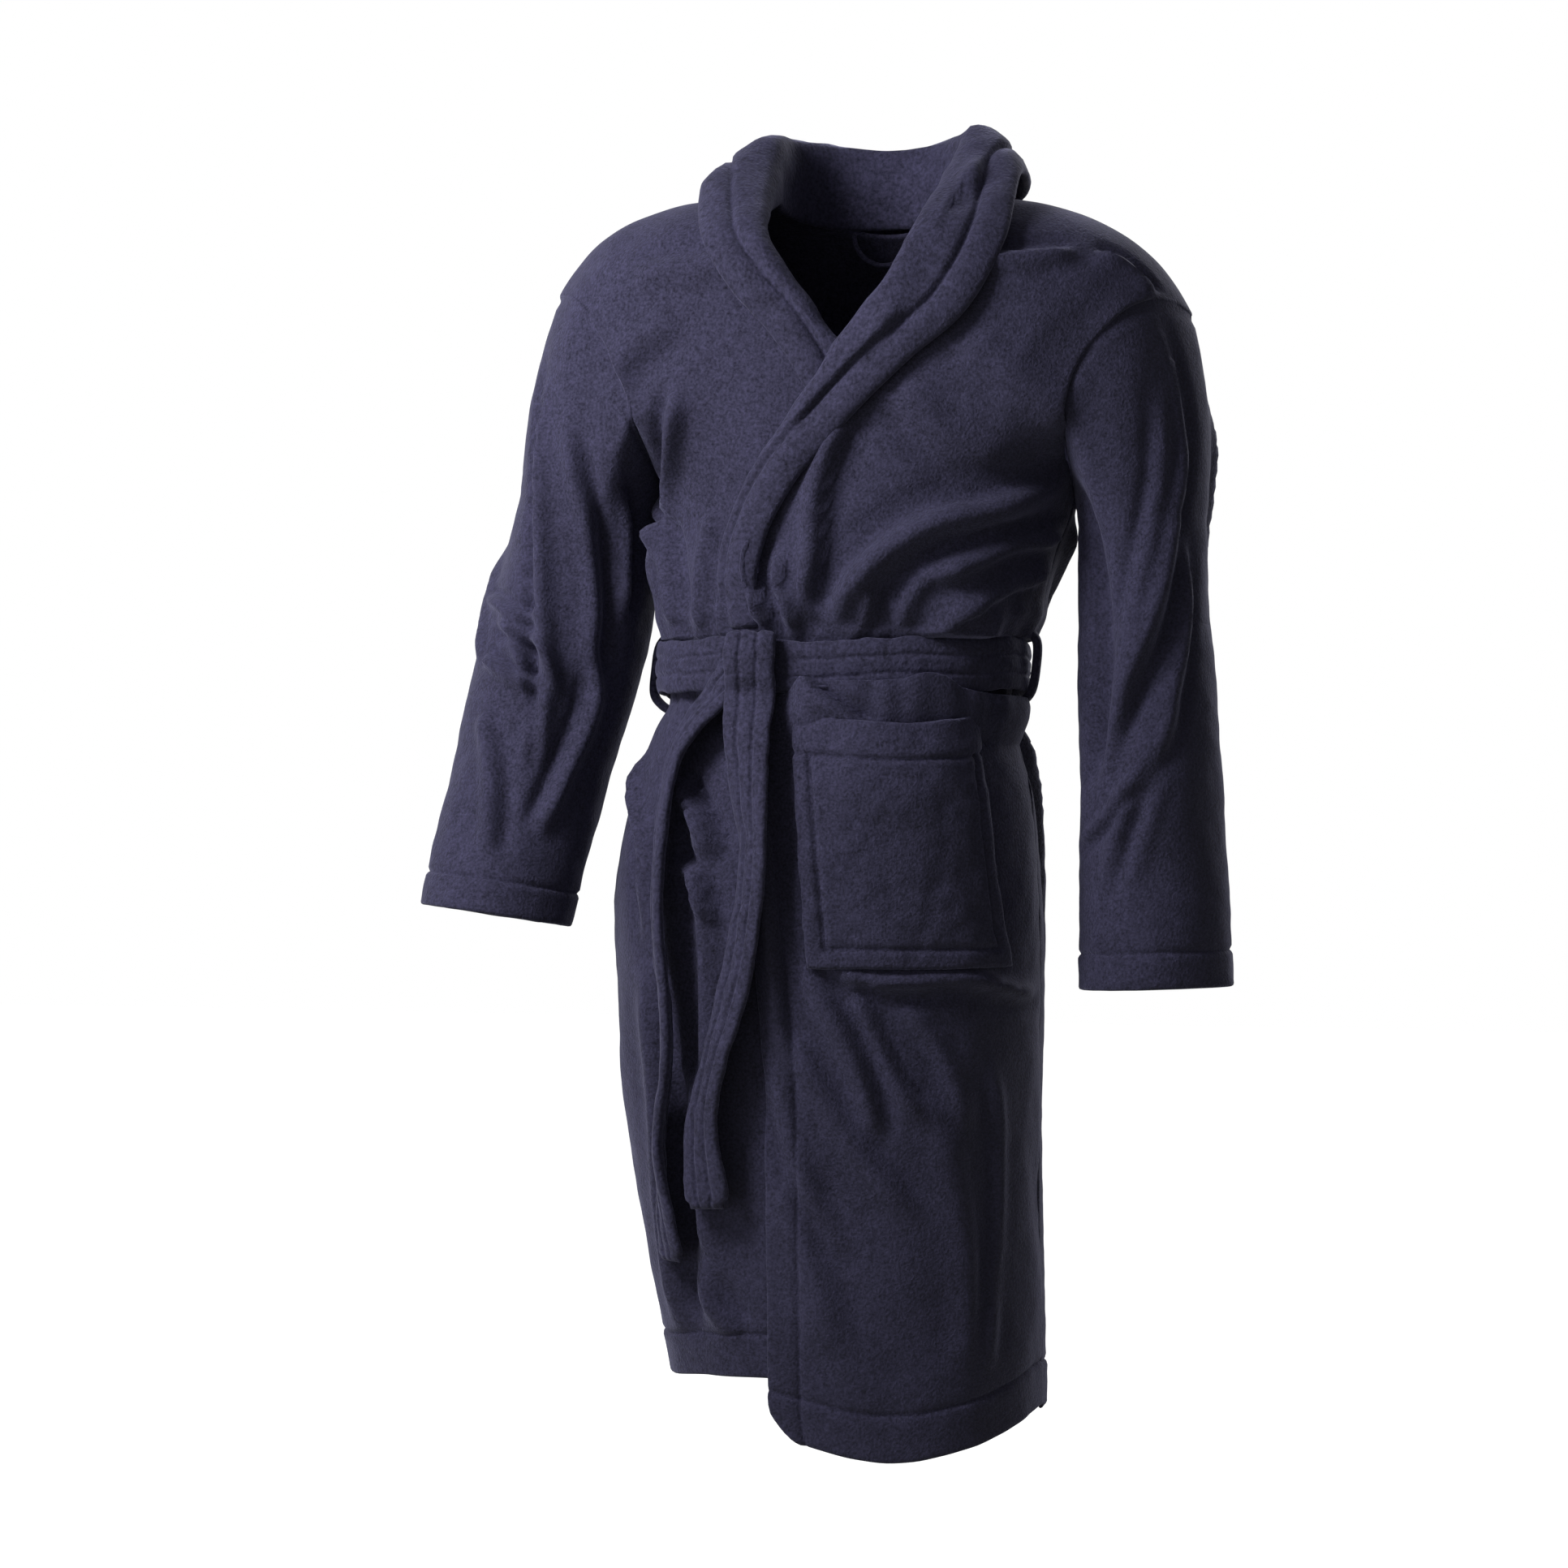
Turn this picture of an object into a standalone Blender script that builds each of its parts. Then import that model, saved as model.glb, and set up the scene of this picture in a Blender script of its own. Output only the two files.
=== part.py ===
"""Wrap-over plush bathrobe, as worn by an upright body: panels, shawl collar, sleeves, belt and pocket.

Frame: the origin is the middle of the neck at the height of the shoulder tops.
+X is the wearer's left, -Y the front, +Z up. All lengths are in metres.
Each panel of cloth is a grid of points on the worn shape, given its thickness by a Solidify modifier.
"""

import bisect
import math

import bpy
from mathutils import Vector

# ---------------------------------------------------------------- driving dimensions
CLOTH = 0.005  # one layer of plush fleece
COLLAR_CLOTH = 0.009  # the collar is two layers
LAYER = 0.0075  # how far the overlapping front stands off the front under it
GAP = 0.001  # left between two pieces along a seam
REST_GAP = 0.002  # left between a piece and the cloth that it lies on

HEM = -1.11
ARMPIT = -0.29
SHOULDER_ROUND = 0.10  # height over which the chest rounds off into the shoulder
SECTION_POWER = 2.3  # the body's section is a superellipse of this power
ARM_SPREAD = 0.36  # half-width of chest and arms together, which sets the chest's curve

BELT_HEIGHT = -0.44
BELT_WIDTH = 0.048
BELT_CLOTH = 0.008
BELT_OFF = LAYER + REST_GAP + BELT_CLOTH  # the belt's outer face, off the robe's own surface

POCKET_TOP, POCKET_BOTTOM = -0.49, -0.709
POCKET_CLOTH = 0.0045
POCKET_BULGE = 0.018

CORNER_TOP = -0.74  # where the free front corner of the skirt starts to fold
CORNER_HEM_X = 0.10  # where its fold line meets the hem
CORNER_TIP = 0.020  # the blunt tip left at the top of the fold line
CORNER_AXIS_OUT = 0.012  # how far the fold's axis is in front of the fold line's middle

CUFF = 0.032
CUFF_CLOTH = 0.008

LEFT, RIGHT = 1, -1  # the wearer's sides
FRONT, BACK = -1, 1
NAVY = (0.030, 0.030, 0.055, 1.0)


# ---------------------------------------------------------------- curves
def through(*table):
    """A smooth function through (place, value) pairs, which never overshoots them."""
    places, values = zip(*sorted(table))
    steps = [b - a for a, b in zip(places, places[1:])]
    rises = [(b - a) / h for a, b, h in zip(values, values[1:], steps)]
    inner = [0.0 if a * b <= 0 else 2 * a * b / (a + b) for a, b in zip(rises, rises[1:])]
    slopes = [rises[0], *inner, rises[-1]]

    def value(place):
        i = min(max(bisect.bisect_right(places, place) - 1, 0), len(steps) - 1)
        h = steps[i]
        t = min(max((place - places[i]) / h, 0.0), 1.0)
        keep = (1 + 2 * t) * (1 - t) ** 2 * values[i] + t * t * (3 - 2 * t) * values[i + 1]
        return keep + h * t * (1 - t) * ((1 - t) * slopes[i] - t * slopes[i + 1])

    return value


def spline(points, share):
    """The point at share (0 to 1) of a Catmull-Rom curve through the points."""
    last = len(points) - 1
    i = min(int(share * last), last - 1)
    t = share * last - i
    a, b, c, d = (points[min(max(i + k, 0), last)] for k in (-1, 0, 1, 2))
    return b + 0.5 * t * (c - a + t * (2 * a - 5 * b + 4 * c - d + t * (3 * (b - c) + d - a)))


def ease(share):
    share = min(max(share, 0.0), 1.0)
    return share * share * (3 - 2 * share)


def spread(low, high, count):
    return [low + (high - low) * i / (count - 1) for i in range(count)]


# ---------------------------------------------------------------- the worn shape
half_width = through(
    (-1.13, 0.172), (-1.05, 0.180), (-0.92, 0.190), (-0.80, 0.198), (-0.67, 0.200),
    (-0.56, 0.188), (-0.50, 0.170), (-0.47, 0.158), (-0.41, 0.158), (-0.385, 0.170), (-0.35, 0.182),
    (-0.29, 0.193),
)
half_depth = through(
    (-1.13, 0.142), (-0.90, 0.146), (-0.67, 0.148), (-0.56, 0.140), (-0.50, 0.126),
    (-0.47, 0.116), (-0.41, 0.116), (-0.385, 0.124), (-0.34, 0.133), (-0.25, 0.137), (0.0, 0.135),
)
shift_x = through(
    (-1.13, -0.009), (-1.05, -0.017), (-0.80, -0.036), (-0.67, -0.038), (-0.50, -0.030),
    (-0.44, -0.023), (-0.36, -0.014), (-0.29, 0.0), (0.0, 0.0),
)
shift_y = through((-1.13, 0.0), (-0.70, -0.010), (-0.45, -0.012), (-0.20, 0.003), (0.0, 0.005))
# The shoulder line's height, by X. The right shoulder is carried a little higher.
shoulder = through(
    (-0.31, -0.105), (-0.30, -0.087), (-0.279, -0.054), (-0.25, -0.027), (-0.214, -0.010),
    (-0.159, 0.002), (-0.085, 0.004), (0.0, 0.0), (0.085, -0.002), (0.156, -0.011), (0.198, -0.023),
    (0.236, -0.042), (0.266, -0.066), (0.285, -0.090), (0.31, -0.135),
)
# The armhole's distance from the middle, by share of the way up from armpit to shoulder.
armhole = through((0.0, 0.193), (0.18, 0.196), (0.38, 0.205), (0.64, 0.242), (0.86, 0.280), (1.0, 0.300))
# The front edges' X, by height: first the collar's fold line, then the skirt's free edge.
left_edge = through(
    (0.0, 0.088), (-0.027, 0.080), (-0.099, 0.051), (-0.141, 0.017), (-0.19, -0.019),
    (-0.233, -0.048), (-0.266, -0.071), (-0.305, -0.092), (-0.36, -0.106), (-0.42, -0.102),
    (-0.55, -0.088), (-0.644, -0.075), (-0.86, -0.058), (-1.075, -0.057), (-1.125, -0.050),
)
right_edge = through(
    (0.0, -0.092), (-0.052, -0.0745), (-0.093, -0.0455), (-0.137, -0.0143), (-0.16, 0.003),
    (-0.19, 0.020), (-0.233, 0.045), (-0.30, 0.072), (-0.36, 0.080), (-0.42, 0.070), (-0.47, 0.070),
    (-0.56, 0.080), (-0.70, 0.080), (-0.86, 0.070), (-1.06, 0.060),
)


def up_share(row):
    """How far a row is from armpit (0) to shoulder line (1)."""
    return max(0.0, 1 - row / ARMPIT)


def reach(row):
    """Half the width of the body panels on a row. A row is named by its height at the neck."""
    return half_width(row) if row <= ARMPIT else armhole(up_share(row))


def level(x, row):
    """The height of a row at X. Rows are flat up to the armpit and follow the shoulder line above."""
    return row if row <= ARMPIT else ARMPIT + (shoulder(x) - ARMPIT) * up_share(row)


def row_at(x, z):
    """The row that passes through X at height z."""
    return z if z <= ARMPIT else ARMPIT * (1 - (z - ARMPIT) / (shoulder(x) - ARMPIT))


def depth(x, row, off=0.0):
    """How far the cloth's outer face is from the body's middle plane."""
    wide = min(abs(x - shift_x(row)) / (reach(row) + off), 1.0)
    ring = (half_depth(row) + off) * (1 - wide**SECTION_POWER) ** (1 / SECTION_POWER)
    if row <= ARMPIT:
        return ring
    chest = (half_depth(row) + off) * math.sqrt(max(1 - (abs(x) / ARM_SPREAD) ** 2.4, 0.0))
    above = ease(up_share(row) / 0.30)
    fall = min(max((shoulder(x) - level(x, row)) / SHOULDER_ROUND, 0.0), 1.0)
    return (ring + (chest - ring) * above) * math.sqrt(1 - (1 - fall) ** 2)


def body_point(side, face, angle, row, off=0.0):
    """A point on the worn shape. The angle is 0 at the side seam and a quarter turn at the middle."""
    x = shift_x(row) + side * (reach(row) + off) * math.cos(angle)
    return Vector((x, shift_y(row) + face * depth(x, row, off), level(x, row)))


def angle_to(side, x, row, off=0.0):
    """The angle on a row, measured from a side seam, that lies at X."""
    return math.acos(min(max(side * (x - shift_x(row)) / (reach(row) + off), -1.0), 1.0))


def front_point(x, z, off):
    """A point on the front at X and height z, off the robe's own surface."""
    row = row_at(x, z)
    return Vector((x, shift_y(row) - depth(x, row) - off, z))


def edge_angle(side, edge, row):
    """The angle on a row at which a front panel's free edge lies."""
    low, high = 0.0, math.pi
    for _ in range(40):
        angle = (low + high) / 2
        x = shift_x(row) + side * reach(row) * math.cos(angle)
        inside = side * (x - edge(level(x, row))) > 0
        low, high = (angle, high) if inside else (low, angle)
    return low


# ---------------------------------------------------------------- solids
def fleece(name):
    material = bpy.data.materials.new(f"{name}_fleece")
    material.use_nodes = True
    shader = material.node_tree.nodes["Principled BSDF"]
    shader.inputs["Base Color"].default_value = NAVY
    shader.inputs["Roughness"].default_value = 0.95
    shader.inputs["Metallic"].default_value = 0.0
    return material


def mesh_object(name, points, faces, pivot):
    """A mesh whose origin is at the pivot: the place that the piece turns about, if it moves."""
    mesh = bpy.data.meshes.new(name)
    mesh.from_pydata([tuple(p - pivot) for p in points], [], faces)
    mesh.shade_smooth()
    mesh.materials.append(fleece(name))
    piece = bpy.data.objects.new(name, mesh)
    piece.location = pivot
    bpy.context.scene.collection.objects.link(piece)
    return piece


def solid(name, rows, thickness, closed=False, inside=None, offset=-1.0, pivot=Vector()):
    """A piece of cloth: a grid of points on its outer face, thickened towards a point inside it.

    Closed joins the ends of each row. The inside is the middle of the points unless it is given.
    """
    count = len(rows[0])
    points = [p for row in rows for p in row]
    inside = inside or sum(points, Vector()) / len(points)
    faces = [
        (r * count + c, r * count + (c + 1) % count, (r + 1) * count + (c + 1) % count, (r + 1) * count + c)
        for r in range(len(rows) - 1)
        for c in range(count if closed else count - 1)
    ]
    piece = mesh_object(name, points, faces, pivot)
    mesh = piece.data
    if sum((face.center + pivot - inside).dot(face.normal) * face.area for face in mesh.polygons) < 0:
        mesh.flip_normals()
    thick = piece.modifiers.new("thickness", "SOLIDIFY")
    thick.thickness = thickness
    thick.offset = offset
    thick.use_even_offset = True
    return piece


# ---------------------------------------------------------------- body panels
SKIRT_ROWS = [HEM, -1.03, -0.93, -0.82, -0.71, -0.61, -0.54, -0.50, -0.47, -0.41, -0.385, -0.34]
CHEST_ROWS = [ARMPIT, -0.25, -0.21, -0.17, -0.13, -0.09, -0.055, -0.028, -0.012, -0.003, 0.0]
BODY_AXIS = Vector((0.0, 0.0, -0.55))
SEAM_FLAT, SEAM_RISE = 0.010, 0.045  # beside the side seam the overlap lies flat, then rises over this width
NECK_HALF_WIDTH = 0.088
NECK_BACK = 0.60  # how far back the neck's edge reaches, as a share of the half-depth there
NECK_BLEND = 0.13  # the height over which the back's rows bend down to the neck's edge
HEM_BLEND = -0.80  # the height below which the rows bend to the hem's own line
BACK_ANGLES = (0, 13, 26, 38, 49, 59, 67, 73, 79, 85)  # degrees from a side seam

# How far the hem hangs below its height at the left side seam, by X: the wrap pulls it out of level.
overlap_hem = through((-0.06, 0.021), (0.05, 0.040), (0.12, 0.028), (0.18, 0.0))
under_hem = through((-0.18, -0.015), (-0.13, -0.025), (-0.05, -0.030), (0.18, 0.0))


def panel_point(side, face, angle, row, off=0.0, hem=under_hem):
    point = body_point(side, face, angle, row, off)
    point.z -= hem(point.x) * ease((HEM_BLEND - row) / (HEM_BLEND - HEM))
    return point


def overlap_off(x, row):
    """The overlapping front's stand-off: a layer over the other front, and none at the side seam."""
    seam = shift_x(row) + reach(row)
    return LAYER * ease((seam - SEAM_FLAT - x) / SEAM_RISE)


def left_front_point(angle, row):
    x = shift_x(row) + reach(row) * math.cos(angle)
    return panel_point(LEFT, FRONT, angle, row, overlap_off(x, row), overlap_hem)


def neck_row(x):
    """The highest row of the back panel at X, where the neck is cut out."""
    back = NECK_BACK * math.sqrt(max(1 - (x / NECK_HALF_WIDTH) ** 2, 0.0))
    return -SHOULDER_ROUND * (1 - math.sqrt(1 - back * back))


def back_panel():
    """One piece from shoulder to hem, with the back of the neck cut out."""
    half = [math.radians(angle) for angle in BACK_ANGLES]
    angles = [*half, math.pi / 2, *(math.pi - angle for angle in reversed(half))]
    rows = []
    for row in [*SKIRT_ROWS, *CHEST_ROWS]:
        seam = GAP / reach(row)
        points = []
        for angle in angles:
            x = shift_x(row) - reach(row) * math.cos(angle)
            cut = min(row, row + neck_row(x) * ease((row + NECK_BLEND) / NECK_BLEND))
            points.append(panel_point(RIGHT, BACK, min(max(angle, seam), math.pi - seam), cut))
        rows.append(points)
    for point in rows[-1]:
        point.y += GAP
    return solid("back_panel", rows, CLOTH, inside=BODY_AXIS)


def front_rows(point_at, far_angle):
    rows = []
    for row in [*SKIRT_ROWS, *CHEST_ROWS]:
        seam = 2 * GAP / reach(row)
        far = far_angle(row) - GAP / reach(row)
        rows.append([point_at(angle, row) for angle in spread(seam, max(far, seam + 0.02), 11)])
    for point in rows[-1]:
        point.y -= GAP
    return rows


def corner_angle(row):
    """The free corner's fold line, from the front edge down to the hem."""
    share = (CORNER_TOP - row) / (CORNER_TOP - HEM)
    top_angle = edge_angle(LEFT, left_edge, CORNER_TOP)
    return top_angle + (angle_to(LEFT, CORNER_HEM_X, HEM) - top_angle) * share


def left_front_panel():
    def far(row):
        edge = edge_angle(LEFT, left_edge, row)
        return edge if row > CORNER_TOP else min(edge, corner_angle(row))

    return solid("left_front_panel", front_rows(left_front_point, far), CLOTH, inside=BODY_AXIS)


def left_front_corner():
    """The free lower corner of the overlapping front, beyond its fold line."""
    rows = []
    for row in [CORNER_TOP - CORNER_TIP, *spread(CORNER_TOP - 3 * CORNER_TIP, HEM, 7)]:
        near = corner_angle(row) + 3 * GAP / reach(row)
        far = edge_angle(LEFT, left_edge, row)
        rows.append([left_front_point(angle, row) for angle in spread(near, far, 6)])
    fold = (rows[0][0] + rows[-1][0]) / 2
    return solid("left_front_corner", rows, CLOTH, inside=BODY_AXIS, pivot=fold - Vector((0, CORNER_AXIS_OUT, 0)))


def right_front_panel():
    def point_at(angle, row):
        return panel_point(RIGHT, FRONT, angle, row)

    rows = front_rows(point_at, lambda row: edge_angle(RIGHT, right_edge, row))
    return solid("right_front_panel", rows, CLOTH, inside=BODY_AXIS)


# ---------------------------------------------------------------- collar
COLLAR_OFF = REST_GAP + GAP + COLLAR_CLOTH / 2  # the middle of its thickness, off the front
BAND_SHARE = 0.66  # the edge band takes the collar's outer third
BAND_GAP = 0.016  # half the gap at its seam, as a share of the collar's width
CENTRE_GAP = 0.015  # half the gap at the centre-back seam, as a share of the way to the next station

# Behind and beside the neck: (fold line, middle, free edge), for the wearer's left.
NECK_STATIONS = (
    ((0.0, 0.090, 0.060), (0.0, 0.112, 0.020), (0.0, 0.124, -0.028)),
    ((0.050, 0.082, 0.064), (0.062, 0.106, 0.030), (0.072, 0.116, -0.020)),
    ((0.088, 0.048, 0.067), (0.108, 0.060, 0.046), (0.128, 0.072, 0.006)),
    ((0.096, 0.005, 0.060), (0.124, 0.010, 0.050), (0.146, 0.012, 0.013)),
    ((0.093, -0.042, 0.022), (0.122, -0.048, 0.022), (0.148, -0.046, 0.008)),
)
# Down the front: (fold line X, Z, free edge X, Z, how much the fold puffs it off the front).
LEFT_LAPEL = (
    (0.076, -0.042, 0.148, -0.062, 0.006), (0.052, -0.097, 0.116, -0.128, 0.006),
    (0.017, -0.141, 0.066, -0.170, 0.005), (-0.012, -0.183, 0.026, -0.207, 0.003),
    (-0.046, -0.231, -0.012, -0.247, 0.002), (-0.071, -0.267, -0.040, -0.280, 0.001),
    (-0.092, -0.307, -0.062, -0.317, 0.001), (-0.104, -0.357, -0.074, -0.360, 0.001),
    (-0.104, -0.403, -0.074, -0.403, 0.0),
)
RIGHT_LAPEL = (
    (-0.078, -0.042, -0.130, -0.050, 0.004), (-0.058, -0.078, -0.104, -0.100, 0.003),
    (-0.033, -0.112, -0.073, -0.140, 0.001), (-0.012, -0.144, -0.044, -0.176, 0.0),
)


def collar_curves(side, lapel, layer):
    """The fold line, middle line and free edge of half a collar, from the centre back to its end."""
    curves = [[Vector((side * x, y, z)) for x, y, z in line] for line in zip(*NECK_STATIONS)]
    for fold_x, fold_z, free_x, free_z, puff in lapel:
        for curve, share in zip(curves, (0.0, 0.5, 1.0)):
            x = fold_x + (free_x - fold_x) * share
            z = fold_z + (free_z - fold_z) * share
            curve.append(front_point(x, z, layer + COLLAR_OFF + puff))
    return curves


def collar_point(curves, along, across):
    fold, middle, free = (spline(curve, along) for curve in curves)
    return (
        fold * (1 - across) * (1 - 2 * across)
        + middle * 4 * across * (1 - across)
        + free * across * (2 * across - 1)
    )


def collar(side, word, lapel, layer):
    """Half of the shawl collar and the band along its free edge."""
    curves = collar_curves(side, lapel, layer)
    start = CENTRE_GAP / (len(curves[0]) - 1)
    for name, low, high, count in (
        (f"{word}_collar", 0.0, BAND_SHARE - BAND_GAP, 4),
        (f"{word}_collar_band", BAND_SHARE + BAND_GAP, 1.0, 3),
    ):
        rows = [
            [collar_point(curves, along, across) for across in spread(low, high, count)]
            for along in spread(start, 1.0, 2 * len(curves[0]))
        ]
        solid(name, rows, COLLAR_CLOTH, offset=0.0)


# The neck seam, from beside the throat to the centre back, on the wearer's left.
STAND_BASE = (
    (0.083, -0.030, 0.002), (0.088, 0.0, 0.006), (0.079, 0.040, 0.004), (0.046, 0.072, -0.004), (0.0, 0.081, -0.012),
)
STAND_LOW, STAND_HIGH = 0.016, 0.048  # its height at the ends and at the back
STAND_CLOTH = 0.0045


def collar_stand():
    """The upright part inside the collar, from the neck seam to just under the fold."""
    base = [Vector(point) for point in STAND_BASE]
    mirrored = [Vector((-p.x, p.y, p.z)) for p in reversed(base[:-1])]
    rows = []
    for along in spread(0.0, 1.0, 15):
        foot = spline([*base, *mirrored], along)
        rise = STAND_LOW + (STAND_HIGH - STAND_LOW) * math.sin(math.pi * along) ** 0.6
        rows.append([foot, foot + Vector((0, 0, rise / 2)), foot + Vector((0, 0, rise))])
    return solid("collar_stand", rows, STAND_CLOTH, inside=BODY_AXIS)


# ---------------------------------------------------------------- pocket
POCKET_BASE = (-0.0185, 0.142)  # the X of its inner and outer corners at the bottom
POCKET_MOUTH = (-0.036, 0.111)  # and at the top


def patch_pocket():
    """A patch on the left front, sewn down at the sides and the bottom and open at the top."""
    rows = []
    for row in spread(POCKET_BOTTOM, POCKET_TOP, 8):
        up = (row - POCKET_BOTTOM) / (POCKET_TOP - POCKET_BOTTOM)
        inner, outer = (POCKET_BASE[k] + (POCKET_MOUTH[k] - POCKET_BASE[k]) * up for k in (0, 1))
        points = []
        for across in spread(0.0, 1.0, 9):
            angle = angle_to(LEFT, outer, row) * (1 - across) + angle_to(LEFT, inner, row) * across
            x = shift_x(row) + reach(row) * math.cos(angle)
            bulge = POCKET_BULGE * math.sin(math.pi * across) ** 0.6 * (0.15 + 0.85 * ease(up / 0.35))
            off = overlap_off(x, row) + REST_GAP + POCKET_CLOTH + bulge
            points.append(body_point(LEFT, FRONT, angle, row, off))
        rows.append(points)
    return solid("patch_pocket", rows, POCKET_CLOTH, inside=BODY_AXIS)


# ---------------------------------------------------------------- loops
LOOP_RADIUS = 0.030
LOOP_CORD = 0.0022
HANGER_TOP = Vector((0.0, 0.0665, -0.022))


def hanger_loop():
    """A cord loop sewn inside the back of the neck, hanging as a U."""
    sides = 8
    rings = []
    for angle in spread(0.0, math.pi, 13):
        out = Vector((math.cos(angle), 0, -math.sin(angle)))
        around = [2 * math.pi * k / sides for k in range(sides)]
        centre = HANGER_TOP + LOOP_RADIUS * out
        rings.append([centre + LOOP_CORD * (math.cos(a) * out + math.sin(a) * Vector((0, 1, 0))) for a in around])
    faces = [
        (r * sides + k, (r + 1) * sides + k, (r + 1) * sides + (k + 1) % sides, r * sides + (k + 1) % sides)
        for r in range(len(rings) - 1)
        for k in range(sides)
    ]
    last = (len(rings) - 1) * sides
    ends = [tuple(range(sides)), tuple(reversed(range(last, last + sides)))]
    return mesh_object("hanger_loop", [p for ring in rings for p in ring], faces + ends, HANGER_TOP)


STRIP_WIDTH = 0.012
STRIP_CLOTH = 0.0030
# A belt loop's inner face: height from the belt's middle, and distance out from the robe's waist.
STRIP_OUTLINE = (
    (0.038, 0.011), (0.030, BELT_OFF - 0.001), (0.018, BELT_OFF + REST_GAP),
    (-0.018, BELT_OFF + REST_GAP), (-0.030, BELT_OFF - 0.001), (-0.038, 0.013),
)


def belt_loop(side, word):
    """A strip sewn to the side seam above and below the belt, standing off round it."""
    outline = []
    for up, out in STRIP_OUTLINE:
        z = BELT_HEIGHT + up
        outline.append((shift_x(BELT_HEIGHT) + side * (half_width(BELT_HEIGHT) + out), z))
    y = shift_y(BELT_HEIGHT)
    rows = [[Vector((x, y + dy, z)) for dy in (-STRIP_WIDTH / 2, STRIP_WIDTH / 2)] for x, z in outline]
    return solid(f"{word}_belt_loop", rows, STRIP_CLOTH, inside=BODY_AXIS, offset=1.0)


# ---------------------------------------------------------------- belt
KNOT_X = -0.080
KNOT_WIDTH = 0.050
# The knot's outer face: distance out from the belt's face, and height from the belt's middle.
KNOT_OUTLINE = ((0.003, 0.033), (0.008, 0.028), (0.011, 0.018), (0.013, 0.0), (0.011, -0.026))


def belt_face(x, z, off=0.0):
    """A point in front of the belt's outer face."""
    waist = depth(x, BELT_HEIGHT, BELT_OFF)
    return Vector((x, shift_y(BELT_HEIGHT) - waist - off, z))


def belt_waistband():
    rows = []
    for z in (BELT_HEIGHT - BELT_WIDTH / 2, BELT_HEIGHT, BELT_HEIGHT + BELT_WIDTH / 2):
        ring = []
        for angle in spread(0.0, 2 * math.pi, 33)[:-1]:
            face = FRONT if angle < math.pi else BACK
            point = body_point(LEFT, face, angle if angle < math.pi else 2 * math.pi - angle, BELT_HEIGHT, BELT_OFF)
            ring.append(Vector((point.x, point.y, z)))
        rows.append(ring)
    return solid("belt_waistband", rows, BELT_CLOTH, closed=True)


def belt_knot():
    """The turn of the belt that passes over the waistband's top edge and down its front."""
    rows = [
        [belt_face(KNOT_X + dx, BELT_HEIGHT + up, out) for dx in spread(-KNOT_WIDTH / 2, KNOT_WIDTH / 2, 4)]
        for out, up in KNOT_OUTLINE
    ]
    return solid("belt_knot", rows, BELT_CLOTH, inside=BODY_AXIS)


TAIL_PIVOT = 0.006  # the height of a tail's swing axis over its top end
SHORT_TAIL = (
    (-0.080, -0.474, 0.024), (-0.083, -0.55, 0.008), (-0.087, -0.64, 0.004), (-0.096, -0.74, 0.004),
    (-0.104, -0.84, 0.005), (-0.110, -0.925, 0.006),
)
LONG_TAIL = (
    (-0.121, -0.474, 0.012), (-0.141, -0.55, 0.008), (-0.154, -0.66, 0.005), (-0.158, -0.78, 0.005),
    (-0.158, -0.89, 0.005), (-0.156, -0.980, 0.005),
)
SHORT_TAIL_WIDTH = 0.046
LONG_TAIL_WIDTH = 0.034  # narrower, as this end hangs half turned


def belt_tail(name, line, width):
    """A hanging end of the belt: a flat strap in front of the skirt, along a line of (X, Z, stand-off).

    It swings about its top, under the knot.
    """
    stations = [front_point(x, z, LAYER + REST_GAP + BELT_CLOTH + off) for x, z, off in line]
    rows = []
    for along in spread(0.0, 1.0, 12):
        centre = spline(stations, along)
        rows.append([centre + Vector((dx, 0.10 * dx, 0)) for dx in (-width / 2, 0.0, width / 2)])
    pivot = rows[0][1] + Vector((0, BELT_CLOTH / 2, TAIL_PIVOT))
    return solid(name, rows, BELT_CLOTH, inside=BODY_AXIS, pivot=pivot)


# ---------------------------------------------------------------- sleeves
RING_POINTS = 18
# Centre, half-width and half-depth at stations down each sleeve.
SLEEVES = {
    LEFT: (
        ((0.256, -0.002, -0.315), 0.058, 0.092), ((0.258, -0.006, -0.40), 0.060, 0.086),
        ((0.262, -0.010, -0.48), 0.063, 0.081), ((0.268, -0.020, -0.60), 0.066, 0.074),
        ((0.273, -0.030, -0.730), 0.070, 0.069),
    ),
    RIGHT: (
        ((-0.274, -0.006, -0.315), 0.071, 0.090), ((-0.290, -0.018, -0.40), 0.078, 0.082),
        ((-0.305, -0.034, -0.475), 0.078, 0.074), ((-0.321, -0.066, -0.570), 0.074, 0.069),
        ((-0.335, -0.100, -0.668), 0.070, 0.068),
    ),
}
SLEEVE_END_GAP = 0.002  # share of a sleeve's length left free at the bend
CUFF_GAP = 0.0015
RING_LEAN = 0.3  # how far a sleeve's rings lean with it: 0 keeps them level from front to back, 1 square to it
ELBOW_STATION = 0.5  # share of the stations' length at which a sleeve bends


def armhole_ring(side):
    """The armhole seam, from the shoulder's end down the front to the armpit and up the back."""
    ring = []
    for angle in spread(0.0, 2 * math.pi, RING_POINTS + 1)[:-1]:
        row = ARMPIT * (1 - min((1 + math.cos(angle)) / 2, 0.995))
        point = body_point(side, FRONT if math.sin(angle) > 0 else BACK, 0.0, row)
        point.x += side * 2 * GAP
        ring.append(point)
    return ring


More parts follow.
